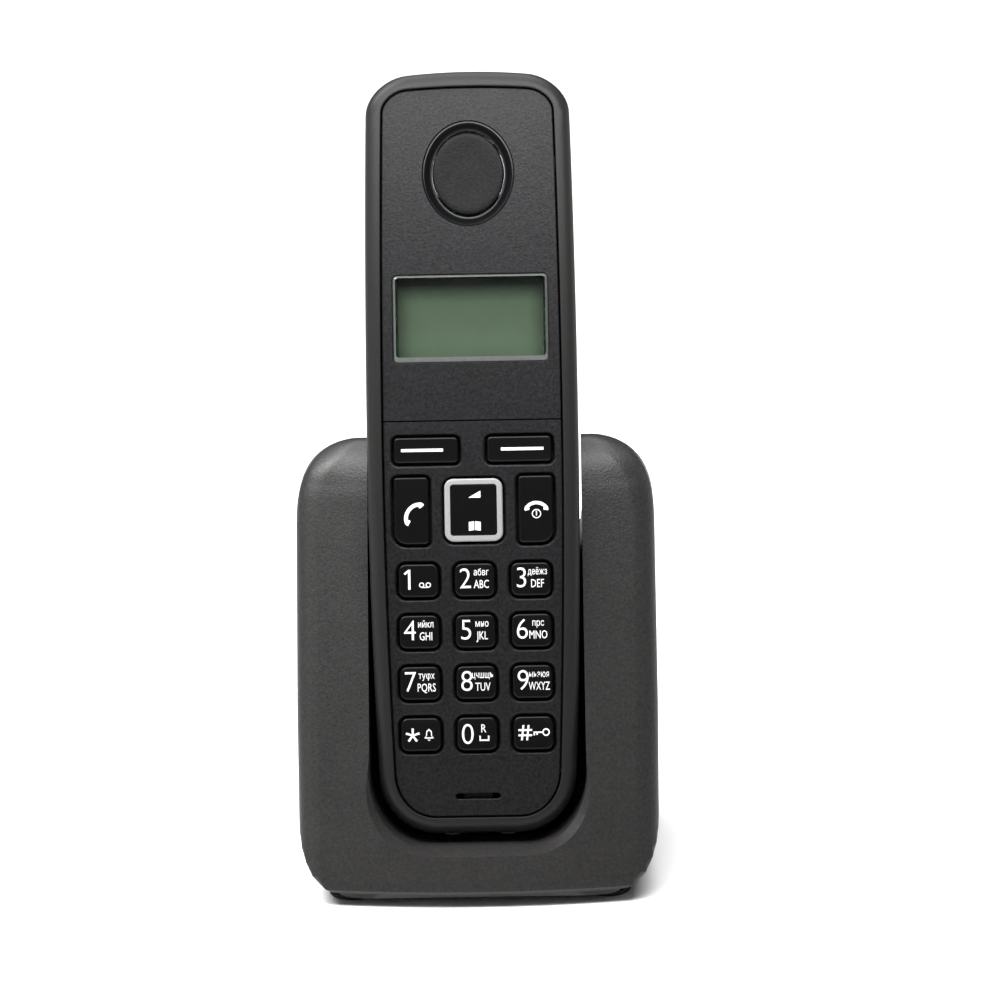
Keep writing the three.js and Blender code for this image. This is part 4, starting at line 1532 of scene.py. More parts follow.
@dataclass
class Legends:
    """The digits, letters and signs printed on the keys.

    Attributes:
        space: The handset's frame.
        thickness: How thick the print is modelled.
        proud: How far it stands over the key's rim.
    """

    space: Space
    thickness: float = 0.14
    proud: float = 0.02

    LETTERS = {2: "ABC", 3: "DEF", 4: "GHI", 5: "JKL", 6: "MNO", 7: "PQRS", 8: "TUV", 9: "WXYZ"}
    CYRILLIC = {2: "абвг", 3: "деёжз", 4: "ийкл", 5: "мно", 6: "прс", 7: "туφх", 8: "цчшщъ", 9: "ыьэюя"}

    def build(self) -> None:
        """Prints every key."""
        makers: dict[str, Callable[[Vector], list[Piece]]] = {
            "key_0": self.zero,
            "key_1": self.one,
            "key_star": self.star,
            "key_hash": self.hash_sign,
            "talk_key": self.talk,
            "end_key": self.end,
            "nav_key": self.rocker,
            "soft_key_left": self.left_bar,
            "soft_key_right": self.right_bar,
        }
        for key in key_shapes(self.space):
            self.front = key.low.y - self.proud
            if key.node == "nav_key":
                self.front += 0.1
            self.back = self.front + self.thickness
            if key.node in makers:
                parts = makers[key.node](key.centre)
            else:
                parts = self.digit(int(key.node.removeprefix("key_")), key.centre)
            piece = join(f"print_{key.node}", parts)
            fit(piece, self.space, Finishes.LEGEND, key.node)

    def write(self, text: str, size: float, squeeze: float, at: Vector) -> Piece:
        """Prints letters at a place on the key now being printed."""
        return lettering(text, size, squeeze, (at.x, at.z), self.front, self.back)

    def shape(self, centre: Vector, outline: Points) -> Piece:
        """Prints a filled shape, given about a centre."""
        moved = [(centre.x + x, centre.z + z) for x, z in outline]
        return stamp("print", moved, self.front, self.back)

    def line(
        self, centre: Vector, outer: Points, inner: Points
    ) -> Piece:
        """Prints a closed line between two outlines, given about a centre.

        Args:
            centre: The centre.
            outer: The outer outline.
            inner: The inner one.

        Returns:
            The piece.
        """
        moved = [[(centre.x + x, centre.z + z) for x, z in outline] for outline in (outer, inner)]
        return band_stamp("print", moved[0], moved[1], self.front, self.back)

    def circle(self, centre: Vector, radius: float, stroke: float) -> Piece:
        """Prints a circle.

        Args:
            centre: Its centre.
            radius: Its outer radius.
            stroke: How wide its line is.

        Returns:
            The printed part.
        """
        outer = arc_points((0, 0), (radius, radius), 0, 360, 24)[:-1]
        inner = arc_points((0, 0), (radius - stroke,) * 2, 0, 360, 24)[:-1]
        return self.line(centre, outer, inner)

    def bar(self, centre: Vector, width: float, height: float) -> Piece:
        """Prints a plain bar."""
        x, z = width / 2, height / 2
        return self.shape(centre, [(-x, -z), (x, -z), (x, z), (-x, z)])

    def digit(self, number: int, centre: Vector) -> list[Piece]:
        """Prints a digit with its Latin and Cyrillic letters.

        Args:
            number: The digit.
            centre: The key's middle.

        Returns:
            The printed parts.
        """
        squeeze = 0.6 if number == 9 else 0.67
        small_squeeze = 0.66 if number in (3, 8, 9) else 0.74
        right = centre + Vector((1.38, 0, 0))
        return [
            self.write(str(number), 6.2, 0.92, centre + Vector((-2.0, 0, -1.75))),
            self.write(self.LETTERS[number], 2.5, squeeze, right + Vector((0, 0, -1.75))),
            self.write(self.CYRILLIC[number], 2.05, small_squeeze, right + Vector((0, 0, 0.95))),
        ]

    def zero(self, centre: Vector) -> list[Piece]:
        """Prints the nought, with the recall letter over a space sign.

        Args:
            centre: The key's middle.

        Returns:
            The printed parts.
        """
        at = centre + Vector((1.5, 0, -1.0))
        tray = [(-1.05, 0.6), (-1.05, -0.5), (1.05, -0.5), (1.05, 0.6)]
        tray += [(0.75, 0.6), (0.75, -0.2), (-0.75, -0.2), (-0.75, 0.6)]
        return [
            self.write("0", 6.2, 0.95, centre + Vector((-2.0, 0, -2.1))),
            self.write("R", 2.5, 0.8, centre + Vector((1.4, 0, 0.3))),
            self.shape(at, tray),
        ]

    def one(self, centre: Vector) -> list[Piece]:
        """Prints the one, with the voice box sign.

        Args:
            centre: The key's middle.

        Returns:
            The printed parts.
        """
        flag = [(0.3, 2.1), (-0.15, 2.1), (-1.1, 1.35), (-0.85, 1.0), (-0.2, 1.5), (-0.2, -2.1), (0.3, -2.1)]
        sign = centre + Vector((1.35, 0, -1.0))
        return [
            self.shape(centre + Vector((-2.0, 0, 0.25)), flag),
            self.circle(sign + Vector((-0.7, 0, 0.08)), 0.55, 0.2),
            self.circle(sign + Vector((0.7, 0, 0.08)), 0.55, 0.2),
            self.bar(sign + Vector((0, 0, -0.42)), 1.5, 0.2),
        ]

    def star(self, centre: Vector) -> list[Piece]:
        """Prints the star, with the ringer's bell.

        Args:
            centre: The key's middle.

        Returns:
            The printed parts.
        """
        half = [(0.0, 1.15), (0.12, 1.15), (0.12, 1.0), (0.5, 0.8)]
        half += [(0.62, 0.3), (0.62, -0.3), (0.95, -0.7), (0.95, -0.85)]
        bell = half + [(-x, z) for x, z in reversed(half)]
        inner = [(x * 0.68, z * 0.74) for x, z in bell]
        at = centre + Vector((1.7, 0, 0.05))
        spoke = [(-0.19, 0.0), (-0.24, 1.5), (0.24, 1.5), (0.19, 0.0)]
        spokes = []
        for turn in range(5):
            c, s = math.cos(turn * math.tau / 5), math.sin(turn * math.tau / 5)
            outline = [(c * x - s * z, s * x + c * z) for x, z in spoke]
            spokes.append(self.shape(centre + Vector((-1.75, 0, -0.15)), outline))
        clapper = self.shape(at + Vector((0, 0, -1.12)), arc_points((0, 0), (0.3, 0.2), 180, 180, 8))
        return [*spokes, self.line(at, bell, inner), clapper]

    def hash_sign(self, centre: Vector) -> list[Piece]:
        """Prints the hash, with the lock's key.

        Args:
            centre: The key's middle.

        Returns:
            The printed parts.
        """
        at = centre + Vector((-1.75, 0, 0.1))
        bars = [self.bar(at + Vector((0, 0, offset)), 2.9, 0.4) for offset in (-0.55, 0.55)]
        leaning = [(-0.4, -1.6), (0.02, -1.6), (0.4, 1.6), (-0.02, 1.6)]
        bars += [self.shape(at + Vector((offset, 0, 0)), leaning) for offset in (-0.55, 0.55)]
        sign = centre + Vector((1.7, 0, 0.15))
        shaft = [(-1.7, 0.15), (-1.7, -0.65), (-1.4, -0.65), (-1.4, -0.15), (-1.1, -0.15)]
        shaft += [(-1.1, -0.55), (-0.8, -0.55), (-0.8, -0.15), (0.3, -0.15), (0.3, 0.15)]
        return [*bars, self.shape(sign, shaft), self.circle(sign + Vector((0.95, 0, 0)), 0.8, 0.28)]

    def receiver(self, turn: float, size: float) -> Points:
        """Returns a telephone receiver's outline, arched upwards before it is turned.

        Args:
            turn: How far it is turned anticlockwise, in degrees.
            size: Its length.

        Returns:
            The outline about its middle.
        """
        outer = arc_points((0, -0.42), (0.6, 0.58), 146, -112, 14)
        inner = arc_points((0, -0.42), (0.45, 0.44), 44, 92, 12)
        right = [(0.52, -0.2), (0.49, -0.25), (0.31, -0.22), (0.29, -0.17)]
        left = [(-x, z) for x, z in reversed(right)]
        outline = outer + right + inner + left
        c, s = math.cos(math.radians(turn)) * size, math.sin(math.radians(turn)) * size
        return [(c * x - s * z, s * x + c * z) for x, z in outline]

    def talk(self, centre: Vector) -> list[Piece]:
        """Prints the raised receiver."""
        return [self.shape(centre + Vector((-0.1, 0, -0.1)), self.receiver(52, 5.6))]

    def end(self, centre: Vector) -> list[Piece]:
        """Prints the receiver laid down over the power sign.

        Args:
            centre: The key's middle.

        Returns:
            The printed parts.
        """
        sign = centre + Vector((0.1, 0, -1.0))
        return [
            self.shape(centre + Vector((0.1, 0, 0.9)), self.receiver(0, 4.9)),
            self.circle(sign, 0.98, 0.2),
            self.bar(sign + Vector((0, 0, 0.1)), 0.22, 1.0),
        ]

    def rocker(self, centre: Vector) -> list[Piece]:
        """Prints the volume wedge and the open directory.

        Args:
            centre: The key's middle.

        Returns:
            The printed parts.
        """
        top = centre + Vector((0.2, 0, 3.3))
        low = centre + Vector((0.2, 0, -3.4))
        page = [(0.12, -0.85), (1.25, -1.0), (1.25, 0.85), (0.12, 1.0)]
        return [
            self.shape(top, [(-1.3, -0.7), (1.3, -0.7), (1.3, 0.75)]),
            self.shape(low, page),
            self.shape(low, [(-x, z) for x, z in reversed(page)]),
        ]

    def left_bar(self, centre: Vector) -> list[Piece]:
        """Prints the left soft key's bar."""
        return [self.bar(centre + Vector((-0.8, 0, 0)), 8.9, 0.62)]

    def right_bar(self, centre: Vector) -> list[Piece]:
        """Prints the right soft key's bar."""
        return [self.bar(centre + Vector((0.6, 0, 0)), 9.0, 0.62)]


# ---------------------------------------------------------------- base


@dataclass
class Base:
    """The charging base: its shells, page key, socket blades, feet and screws.

    Attributes:
        space: The base's frame.
        handset: The handset's casing, whose room the bay gives.
        rear_depth: How far back the rear wall's foot is.
        front_lean: How far the face leans back from upright.
        rear_lean: How far the rear wall leans forward.
        knee: The height where the rear wall starts to lean.
        top: The crown's height.
        half_width: Half of the width at the lower end.
        wall: The shells' thickness.
        undercut: How far the lower edge ends over the bottom.
    """

    space: Space
    handset: HandsetCasing
    rear_depth: float = 70.0
    front_lean: float = math.radians(25)
    rear_lean: float = math.radians(13.46)
    knee: float = 24.0
    top: float = 90.0
    half_width: float = 38.1
    wall: float = 2.0
    undercut: float = 1.45

    def __post_init__(self) -> None:
        """Measures the base."""
        self.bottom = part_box("base_front_shell")[0][2] / MM

    def front_y(self, z: float) -> float:
        """Returns how far back the face's middle is at a height.

        Args:
            z: The height.

        Returns:
            The depth.
        """
        roll_start, roll_top = 78.0, 49.5
        return self.rolled(z, self.front_slope, roll_start, roll_top)

    def front_slope(self, z: float) -> float:
        """Returns how far back the face would be at a height if it had no roll at the top."""
        return (z - self.bottom) * math.tan(self.front_lean)

    def rear_y(self, z: float) -> float:
        """Returns how far back the rear wall is at a height.

        Args:
            z: The height.

        Returns:
            The depth.
        """
        roll_start, roll_top = 80.0, 49.8
        return self.rolled(z, self.rear_slope, roll_start, roll_top)

    def rear_slope(self, z: float) -> float:
        """Returns how far back the rear wall would be at a height if it had no roll at the top.

        Args:
            z: The height.

        Returns:
            The depth, with a soft knee where the wall starts to lean.
        """
        soft = 5.0
        if abs(z - self.knee) < soft:
            return self.rear_depth - (z - self.knee + soft) ** 2 / (4 * soft) * math.tan(self.rear_lean)
        return self.rear_depth - max(z - self.knee, 0) * math.tan(self.rear_lean)

    def rolled(self, z: float, slope: Callable[[float], float], roll_start: float, roll_top: float) -> float:
        """Follows a slope up to a height, then curls over to the crown.

        Args:
            z: The height.
            slope: Gives the slope's depth at a height.
            roll_start: The height where the curl starts.
            roll_top: The depth that it ends at.

        Returns:
            The depth.
        """
        if z <= roll_start:
            return slope(z)
        left = math.sqrt(max(self.top - z, 0) / (self.top - roll_start))
        start, corner = slope(roll_start), slope(self.top)
        return left**2 * start + 2 * left * (1 - left) * corner + (1 - left) ** 2 * roll_top

    def side_x(self, z: float) -> float:
        """Returns half of the base's width at a height.

        Args:
            z: The height.

        Returns:
            Half of the width.
        """
        shoulder, across = 71.0, 14.0
        half = self.half_width + 0.35 * min(max((z - 12) / 25, 0), 1)
        if z <= shoulder:
            return half
        share = min((z - shoulder) / (self.top - shoulder), 1)
        return half - across * (1 - math.sqrt(max(1 - share**3.2, 0)))

    def ring(self, z: float, inset: float = 0.0) -> Ring:
        """Returns the base's outline on a level plane.

        Args:
            z: The plane's height.
            inset: How far the outline is drawn in.

        Returns:
            The ring, from the left front corner.
        """
        low_round = 2.2
        tuck = max(self.bottom + self.undercut + low_round - z, 0) / low_round
        inset += low_round * 0.7 * (1 - math.sqrt(max(1 - tuck**2, 0)))
        front, rear = self.front_y(z) + inset / math.cos(self.front_lean), self.rear_y(z) - inset
        half = self.side_x(z) - inset
        room = (rear - front) / 2 * 0.98
        front_corner = min(5.0, room)
        rear_corner = min(12.0, room)
        bulge = 3.5 / math.cos(self.front_lean) * min(1.0, room / 9)
        points: Points = []
        points += arc_points((-half + front_corner, front + front_corner), (front_corner,) * 2, 180, 90, 10)
        flat = half - front_corner
        points += [(-flat + 2 * flat * step / 24, front) for step in range(1, 24)]
        points += arc_points((half - front_corner, front + front_corner), (front_corner,) * 2, 270, 90, 10)
        points += arc_points((half - rear_corner, rear - rear_corner), (rear_corner,) * 2, 0, 90, 12)
        flat = half - rear_corner
        points += [(flat - 2 * flat * step / 24, rear) for step in range(1, 24)]
        points += arc_points((-half + rear_corner, rear - rear_corner), (rear_corner,) * 2, 90, 90, 12)
        return [self.shaped(x, y, z, front, bulge, inset) for x, y in points]

    def shaped(self, x: float, y: float, z: float, front: float, bulge: float, inset: float) -> Vector:
        """Bends a point of the outline for the face's bulge and the rounded lower corners.

        Args:
            x: Its place across.
            y: Its depth.
            z: Its height.
            front: The depth of the outline's front.
            bulge: How far the sides of the face stand back.
            inset: How far the outline is drawn in.

        Returns:
            The bent point.
        """
        depth = self.rear_depth / 2
        forward = max(1 - (y - front) / depth, 0) ** 2
        y += bulge * (x / self.half_width) ** 2 * forward
        across, tall, lean = 10.0, 16.0, math.radians(15)
        along = y * math.sin(lean) + (z - self.bottom - self.undercut) * math.cos(lean)
        if along < tall:
            share = (tall - along) / tall
            limit = self.half_width - inset - across * (1 - math.sqrt(max(1 - share**2, 0)))
            x = max(-limit, min(limit, x))
        return Vector((x, y, z))

    def form(self, name: str, inset: float = 0.0, sunk: float = 0.0) -> Piece:
        """Returns the base's whole form, drawn in by an inset.

        Args:
            name: The piece's name.
            inset: How far it is drawn in.
            sunk: How much further down it starts.

        Returns:
            The piece.
        """
        low = self.bottom + inset - sunk
        heights = [low, *[self.bottom + inset + 2.2 * (1 - math.cos(math.pi / 2 * k / 6)) for k in range(7)]]
        heights = sorted(set(round(h, 4) for h in heights))
        count = 26
        last = heights[-1]
        heights += [last + (68 - last) * step / count for step in range(1, count + 1)]
        top = self.top - inset
        heights += [68 + (top - 68) * math.sin(math.pi / 2 * step / 26) for step in range(1, 26)]
        heights.append(top - 0.004)
        return loft(name, [self.ring(height, inset) for height in heights])

    def bay(self, name: str, grow: float = 0.0) -> Piece:
        """Returns the room that the handset stands in, in the base's frame.

        Args:
            name: The piece's name.
            grow: How much larger it is on every side.

        Returns:
            The piece.
        """
        half, gap, flare = 22.9 + grow, 0.8 + grow, 4.2
        back = self.handset.back + gap
        profile = [(self.handset.back_round - 0.05, back)]
        rounding = rounded_steps(self.handset.back_round, back, 10)
        profile += [(x, 2 * back - y) for x, y in reversed(rounding)][1:]
        rings = [self.bay_ring(half, gap, (inset, inset), depth) for inset, depth in profile]
        lip = [(0.0, 0.9), (0.03, 0.6), (0.1, 0.3), (0.2, 0.0)]
        rings += [self.bay_ring(half, gap, (0.0, -drop), flare + depth) for drop, depth in lip]
        mouth = [(-0.03, -2.05, -1.0), (-0.12, -2.2, -1.4), (-0.35, -2.3, -1.7)]
        mouth += [(-7.9, -5.0, -9.0), (-7.9, -5.0, -60.0)]
        rings += [self.bay_ring(half, gap, (side, low), depth) for side, low, depth in mouth]
        room = loft(name, rings)
        dip_low = Vector((-half, 0, 60 - grow))
        dip_high = Vector((half, 0, 220))
        dip = loft("dip", [box_ring(dip_low, dip_high, 0, y, (9, 9, 1, 1)) for y in (5, 120)])
        combine(room, dip, Cut.TOGETHER)
        room.data.transform(self.space.matrix.inverted() @ self.handset.space.matrix)
        return room

    def bay_ring(self, half: float, gap: float, insets: tuple[float, float], depth: float) -> Ring:
        """Returns the bay's U-shaped outline, closed off far above.

        Args:
            half: Half of the bay's width.
            gap: The room below the handset.
            insets: How far it is drawn in at the sides and at the bottom, or out when negative.
            depth: Its depth at the handset's lower end.

        Returns:
            The ring.
        """
        corner = (12.5, 13.5)
        radii = (corner[0] - insets[0], corner[1] - insets[1])
        arc = arc_points((half - corner[0], corner[1] - gap), radii, -90, 90, 20)
        right = arc + [(half - insets[0], 30.0 + 10 * step) for step in range(0, 18)]
        outline = right + [(-x, z) for x, z in reversed(right)]
        return [Vector((x, depth, z)) for x, z in outline]

    def build(self) -> None:
        """Builds both shells of the base."""
        hollow = combine(self.form("hollow", self.wall), self.bay("bay_wall", self.wall), Cut.AWAY)
        whole = combine(self.form("whole"), hollow, Cut.AWAY)
        combine(whole, self.bay("bay_room"), Cut.AWAY)
        rear = duplicate(whole, "base_back")
        self.part_front(whole)
        self.part_rear(rear)
        self.seam_lip()
        self.page_key()
        self.socket_blades()
        self.underside()

    def seam_block(self, name: str, clear: float) -> Piece:
        """Returns the block that holds all of the base above and in front of the seam.

        Args:
            name: The block's name.
            clear: How far it stops short of the seam.

        Returns:
            The block.
        """
        rear_cut, low_cut = 4.5 + clear, self.bottom + 3.3 + clear
        heights = [low_cut + (150 - low_cut) * step / 60 for step in range(61)]
        rings = []
        for z in heights:
            y = self.rear_slope(z) - rear_cut
            rings.append([Vector((px, py, z)) for px, py in ((-60, -60), (60, -60), (60, y), (-60, y))])
        return loft(name, rings)

    def skirt_block(self, name: str, clear: float) -> Piece:
        """Returns the low block outside the bottom plate, at the front and sides.

        Args:
            name: The block's name.
            clear: How far it stops short of the plate.

        Returns:
            The block.
        """
        outside = block(name, (-60, -60, -20), (60, self.rear_depth - 4.5 - clear, 12))
        column = self.form("column", self.wall + 0.3 - clear, sunk=8.0)
        return combine(outside, column, Cut.AWAY)

    def part_front(self, shell: Piece) -> None:
        """Trims the front shell at the seam and finishes it.

        Args:
            shell: The whole shell, which becomes the front one.
        """
        keep = combine(self.seam_block("keep", 0.3), self.skirt_block("skirt", 0.3), Cut.TOGETHER)
        combine(shell, keep, Cut.COMMON)
        combine(shell, block("below", (-60, -60, -20), (60, 90, self.bottom + self.undercut)), Cut.AWAY)
        for side in ("left", "right"):
            low, high = self.space.box(f"cradle_contact_{side}")
            tool = block("contact_slot", low - Vector((0.4, 0.6, 3)), high + Vector((0.4, 0.6, 3)))
            combine(shell, tool, Cut.AWAY)
        shell.name = "base_face"
        soften(shell, 30)
        fit(shell, self.space, Finishes.BASE, "base_front_shell", ["base_front_shell"])

    def part_rear(self, shell: Piece) -> None:
        """Trims the rear shell at the seam, and opens it for the sockets.

        Args:
            shell: The whole shell, which becomes the rear one.
        """
        combine(shell, self.seam_block("away", 0.0), Cut.AWAY)
        combine(shell, self.skirt_block("skirt_away", 0.0), Cut.AWAY)
        combine(shell, block("below", (-60, -60, -20), (60, 4.6, self.bottom + self.undercut)), Cut.AWAY)
        for node in ("line_socket", "power_socket"):
            low, high = self.space.box(node)
            clear = Vector((0.3, 0, 0.3))
            combine(shell, block("socket_hole", low - clear, high + clear + Vector((0, 9, 0))), Cut.AWAY)
        shell.name = "base_back"
        soften(shell, 30)
        fit(shell, self.space, Finishes.BASE_REAR, "base_rear_shell", ["base_rear_shell"])

    def seam_lip(self) -> None:
        """Builds the thin lip of the rear shell that closes the seam from inside."""
        clear = self.wall + 0.05
        lip = combine(self.form("seam_lip", clear), self.bay("lip_bay", clear), Cut.AWAY)
        room = combine(self.form("lip_room", clear + 1), self.bay("lip_room_bay", clear + 1), Cut.AWAY)
        combine(lip, room, Cut.AWAY)
        combine(lip, self.seam_block("lip_front", -1.5), Cut.COMMON)
        combine(lip, self.seam_block("lip_rear", 1.8), Cut.AWAY)
        soften(lip, 30)
        fit(lip, self.space, Finishes.BASE_REAR, "base_rear_shell")

    def page_key(self) -> None:
        """Builds the round paging key, dished and square to the rear slope."""
        press = next(j for j in frame["record"]["behaviour"]["joints"] if j["name"] == "page_key_press")
        inward = Vector(press["axis"]).normalized()
        up = Vector((0, -inward.z, inward.y)).normalized()
        up = up if up.z > 0 else -up
        space = Space(Vector(), inward, up)
        low, high = space.box("page_key")
        x, z, radius, front = (low.x + high.x) / 2, (low.z + high.z) / 2, (high.x - low.x) / 2, low.y
        profile = [(radius, high.y), (radius, front + 0.5)]
        profile += [(radius - inset, y) for inset, y in rounded_steps(0.45, front, 5)[1:]]
        profile += [(radius - 1.2, front + 0.12), (radius - 2.2, front + 0.22), (0.6, front + 0.28)]
        key = round_loft("paging_key", x, z, profile)
        soften(key)
        fit(key, space, Finishes.PAGE_KEY, "page_key", ["page_key"])

    def socket_blades(self) -> None:
        """Builds the sprung blades that show inside each socket."""
        for node in ("line_socket", "power_socket"):
            low, high = self.space.box(node)
            x, z = (low.x + high.x) / 2, (low.z + high.z) / 2
            first = block("blade", (x - 2.2, high.y - 9.5, z + 2.0), (x - 1.75, high.y - 2.2, z + 2.3), 0.06)
            blades = [first]
            for step in range(1, 4):
                blade = duplicate(first, "blade")
                blade.data.transform(Matrix.Translation((1.32 * step, 0, 0)))
                blades.append(blade)
            fit(join(f"{node}_blades", blades), self.space, Finishes.PLATED, node)

    def underside(self) -> None:
        """Builds the rubber feet and the screws under the base."""
        under = Space(Vector(), Vector((0, 0, -1)), Vector((0, 1, 0)))
        for end in ("front", "rear"):
            for side in ("left", "right"):
                node = f"foot_{end}_{side}"
                low, high = under.box(node)
                x, z, radius = (low.x + high.x) / 2, (low.z + high.z) / 2, (high.x - low.x) / 2
                profile = [(radius, low.y), (radius, high.y - 0.4), (radius - 0.12, high.y - 0.12)]
                profile += [(radius - 0.4, high.y), (radius - 1.2, high.y), (radius - 1.4, high.y - 0.3)]
                profile += [(radius - 1.9, high.y - 0.3), (radius - 2.1, high.y - 0.02), (0.8, high.y - 0.02)]
                foot = round_loft(f"pad_{end}_{side}", x, z, profile)
                soften(foot)
                fit(foot, under, Finishes.RUBBER, node, [node])
        for side in ("left", "right"):
            node = f"base_screw_{side}"
            low, high = under.box(node)
            centre = ((low.x + high.x) / 2, (low.z + high.z) / 2)
            screw = cross_head_screw(f"under_screw_{side}", high.x - centre[0], low.y, high.y, centre)
            fit(screw, under, Finishes.STEEL, node, [node])


# ---------------------------------------------------------------- battery


@dataclass
class BatteryBay:
    """The two cells and their coil springs.

    Attributes:
        space: The handset's frame.
        wire: The radius of the springs' wire.
        turns: How many turns each spring has.
    """

    space: Space
    wire: float = 0.32
    turns: int = 4

    def build(self) -> None:
        """Builds the cells and springs."""
        for side in ("left", "right"):
            self.cell(side)
            self.spring(side)

    def turned(self, name: str, x: float, y: float, profile: Points) -> Piece:
        """Makes a piece that is round about a line along the handset, from (radius, height) steps.

        Args:
            name: The piece's name.
            x: The line's place across.
            y: The line's depth.
            profile: The steps.

        Returns:
            The piece.
        """
        rings = []
        for radius, z in profile:
            arc = arc_points((x, y), (radius, radius), 0, 360, 40)[:-1]
            rings.append([Vector((px, py, z)) for px, py in arc])
        return loft(name, rings)

    def cell(self, side: str) -> None:
        """Builds one rechargeable cell, with its film shrunk over the ends.

        Args:
            side: Which of the two.
        """
        node = f"battery_cell_{side}"
        low, high = self.space.box(node)
        x, y, radius = (low.x + high.x) / 2, (low.y + high.y) / 2, (high.x - low.x) / 2
        spring = self.space.box(f"battery_spring_{side}")[0].z
        rising = spring < (low.z + high.z) / 2
        length = high.z - low.z
        steps = [(radius - 1.1, 0.12), (radius - 0.9, 0.0), (radius - 0.25, 0.0), (radius, 0.3)]
        steps += [(radius, length - 1.6), (radius - 0.35, length - 1.25), (3.1, length - 1.2)]
        steps += [(3.0, length - 1.3), (2.45, length - 1.3), (2.4, length - 0.15), (2.2, length)]
        profile = [(r, low.z + z if rising else high.z - z) for r, z in steps]
        cell = self.turned(f"cell_{side}", x, y, profile)
        soften(cell)
        low_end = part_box(node)[0][2] / MM
        wrap = CellWrap("cell_film", (0.07, 0.3, 0.16), (0.5, 0.52, 0.54), low_end + 9)
        fit(cell, self.space, wrap, node, [node])

    def spring(self, side: str) -> None:
        """Builds one tapered coil spring.

        Args:
            side: Which of the two.
        """
        node = f"battery_spring_{side}"
        low, high = self.space.box(node)
        x, y, wide = (low.x + high.x) / 2, (low.y + high.y) / 2, (high.x - low.x) / 2 - self.wire
        cell = self.space.box(f"battery_cell_{side}")[0].z
        rising = low.z < cell
        steps, rings = 18 * self.turns, []
        for step in range(steps + 1):
            share, angle = step / steps, math.tau * self.turns * step / steps
            radius = wide - (wide - 2.6) * share
            rise = low.z + self.wire + (high.z - low.z - 2 * self.wire) * (share if rising else 1 - share)
            ring = []
            for corner in range(8):
                turn = math.tau * corner / 8
                reach = radius + self.wire * math.cos(turn)
                height = rise + self.wire * math.sin(turn)
                ring.append(Vector((x + reach * math.cos(angle), y + reach * math.sin(angle), height)))
            rings.append(ring)
        spring = loft(f"coil_{side}", rings)
        soften(spring, 60)
        fit(spring, self.space, Finishes.STEEL, node, [node])


# ---------------------------------------------------------------- carried-over pieces


def dress_frame_nodes() -> None:
    """Gives the CAD nodes that stay as they are their finishes."""
    finishes = {
        Finishes.BOARD: ["handset_board", "base_board"],
        Finishes.CAN: ["earpiece_speaker", "ringer_speaker"],
        Finishes.SOCKET: ["microphone", "line_socket", "power_socket"],
        # The holder's dark grey is painted shade in place of its own light colour.
        Finishes.HOLDER: ["lcd_holder"],
        Finishes.MAT: ["key_mat"],
        Finishes.STEEL: ["battery_plate_left", "battery_plate_right"],
        Finishes.PLATED: ["handset_antenna", "base_antenna"]
        + [f"{kind}_{side}" for kind in ("charge_contact", "cradle_contact") for side in ("left", "right")],
    }
    for finish, nodes in finishes.items():
        for node in nodes:
            dress(frame["nodes"][node], finish)


# ---------------------------------------------------------------- studio


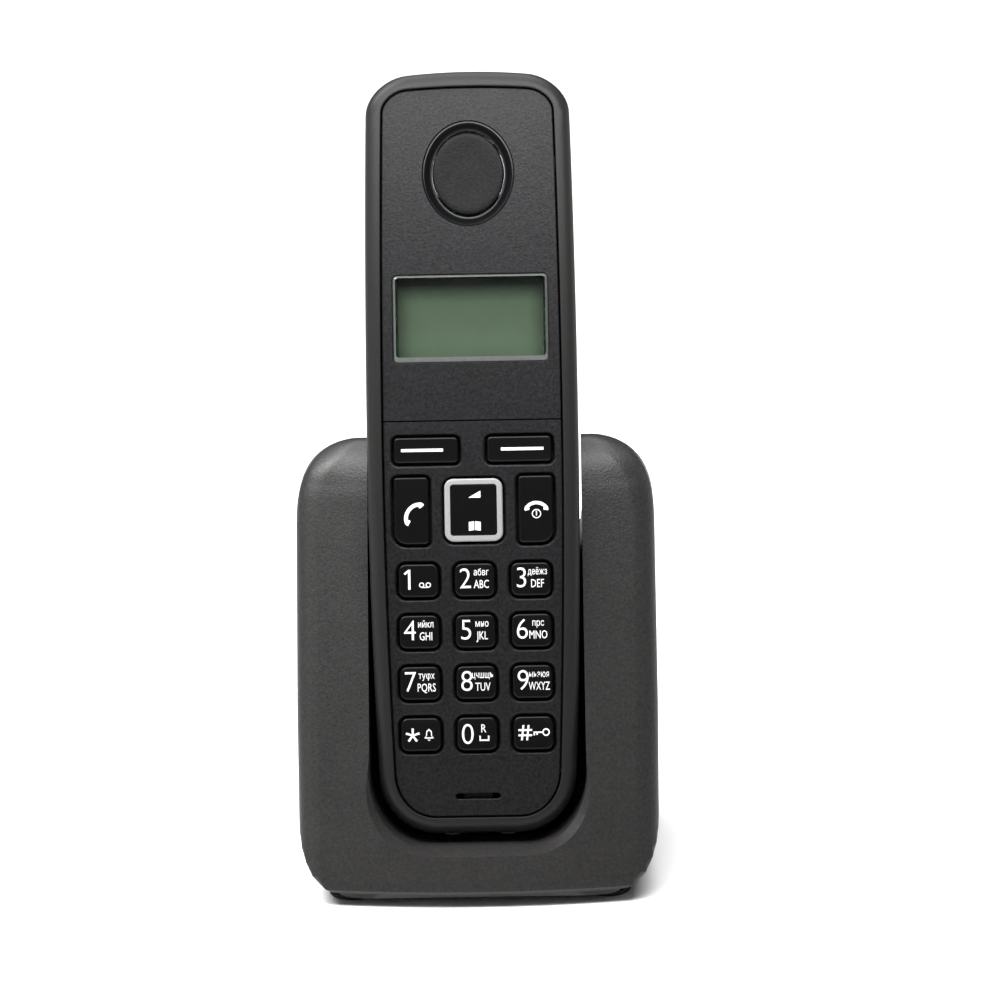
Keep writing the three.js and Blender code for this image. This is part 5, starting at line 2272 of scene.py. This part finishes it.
@dataclass
class Studio:
    """The floor, the lights and the camera.

    Attributes:
        elevation: How far the camera looks down, in degrees.
        azimuth: How far it stands to the right of straight ahead, in degrees.
        roll: How far the picture is turned, in degrees.
        lens: The lens's focal length in millimetres.
        distance: How far it stands from its target, in metres.
        target: The point that it looks at.
        room: How strongly the room itself lights the object.
    """

    elevation: float = 14.87
    azimuth: float = 1.14
    roll: float = -1.27
    lens: float = 150.0
    distance: float = 0.878
    target: tuple[float, float, float] = (0.0057, -0.012, 0.0818)
    room: float = 0.12

    def build(self) -> None:
        """Builds the whole studio."""
        self.floor()
        self.lights()
        self.world()
        self.camera()

    def floor(self) -> None:
        """Lays the pale floor."""
        deselect()
        bpy.ops.mesh.primitive_plane_add(size=40)
        floor = bpy.context.object
        floor.name = "studio_floor"
        graph = Graph("studio_paper")
        tone = graph.ramp(graph.noise(60, detail=2), [(0.0, (0.88,) * 3), (1.0, (0.9,) * 3)])
        graph.set(base_color=tone, roughness=0.7, specular_ior_level=0.2)
        floor.data.materials.append(graph.material)

    def lights(self) -> None:
        """Hangs the soft boxes."""
        self.sun()
        self.soft_box("overhead", (0.0, -0.062, 0.214), (0, 0.0, 0.15), (0.16, 0.06), 0.36)
        self.soft_box("left_box", (-0.9, -0.5, 0.4), (0, 0, 0.08), (0.4, 0.7), 0.7)
        self.soft_box("back_left", (-0.38, -0.02, 0.57), (0, 0, 0.09), (0.3, 0.3), 4.5)
        self.soft_box("right_box", (0.7, 0.25, 0.2), (0, 0, 0.08), (0.25, 0.6), 0.5)

    def sun(self) -> None:
        """Lights the whole floor from above and behind, through a very wide diffuser."""
        deselect()
        bpy.ops.object.light_add(type="SUN", rotation=(math.radians(-10), math.radians(-4), 0))
        light = bpy.context.object
        light.name = "ceiling"
        light.data.energy = 4.7
        light.data.angle = math.radians(70)

    def soft_box(
        self, name: str, place: Sequence[float], aim: Sequence[float], size: tuple[float, float], power: float
    ) -> None:
        """Hangs one soft box.

        Args:
            name: The light's name.
            place: Where it hangs.
            aim: The point that it faces.
            size: Its width and height.
            power: Its power in watts.
        """
        deselect()
        bpy.ops.object.light_add(type="AREA", location=place)
        light = bpy.context.object
        light.name = name
        light.data.shape = "RECTANGLE"
        light.data.size, light.data.size_y = size
        light.data.energy = power
        light.visible_camera = False
        light.rotation_euler = (Vector(aim) - Vector(place)).to_track_quat("-Z", "Y").to_euler()

    def world(self) -> None:
        """Shows the room white, and lets it light the object only a little."""
        world = bpy.data.worlds.new("studio_white")
        world.use_nodes = True
        nodes, links = world.node_tree.nodes, world.node_tree.links
        dim = nodes["Background"]
        dim.inputs["Color"].default_value = (1, 1, 1, 1)
        dim.inputs["Strength"].default_value = self.room
        white = nodes.new("ShaderNodeBackground")
        white.inputs["Color"].default_value = (1, 1, 1, 1)
        white.inputs["Strength"].default_value = 1.0
        seen = nodes.new("ShaderNodeLightPath")
        mix = nodes.new("ShaderNodeMixShader")
        links.new(seen.outputs["Is Camera Ray"], mix.inputs["Fac"])
        links.new(dim.outputs["Background"], mix.inputs[1])
        links.new(white.outputs["Background"], mix.inputs[2])
        links.new(mix.outputs["Shader"], nodes["World Output"].inputs["Surface"])
        bpy.context.scene.world = world
        bpy.context.scene.view_settings.view_transform = "Standard"

    def camera(self) -> None:
        """Stands the camera where it looks a little down on the face."""
        data = bpy.data.cameras.new("studio_camera")
        camera = bpy.data.objects.new("studio_camera", data)
        bpy.context.collection.objects.link(camera)
        data.lens = self.lens
        data.sensor_width = 36
        rise, turn = math.radians(self.elevation), math.radians(self.azimuth)
        away = Vector((math.sin(turn) * math.cos(rise), -math.cos(turn) * math.cos(rise), math.sin(rise)))
        camera.location = Vector(self.target) + away * self.distance
        look = (-away).to_track_quat("-Z", "Y").to_matrix()
        camera.rotation_euler = (look @ Matrix.Rotation(math.radians(self.roll), 3, "Z")).to_euler()
        bpy.context.scene.camera = camera


def main() -> None:
    """Builds every piece and the studio in order."""
    logging.basicConfig(level=logging.INFO, format="%(message)s")
    space = handset_space()
    casing = HandsetCasing(space)
    casing.build()
    HandsetFace(casing).build()
    Keypad(space).build()
    Legends(space).build()
    BatteryBay(space).build()
    Base(base_space(), casing).build()
    dress_frame_nodes()
    Studio().build()


if __name__ == "__main__":
    main()
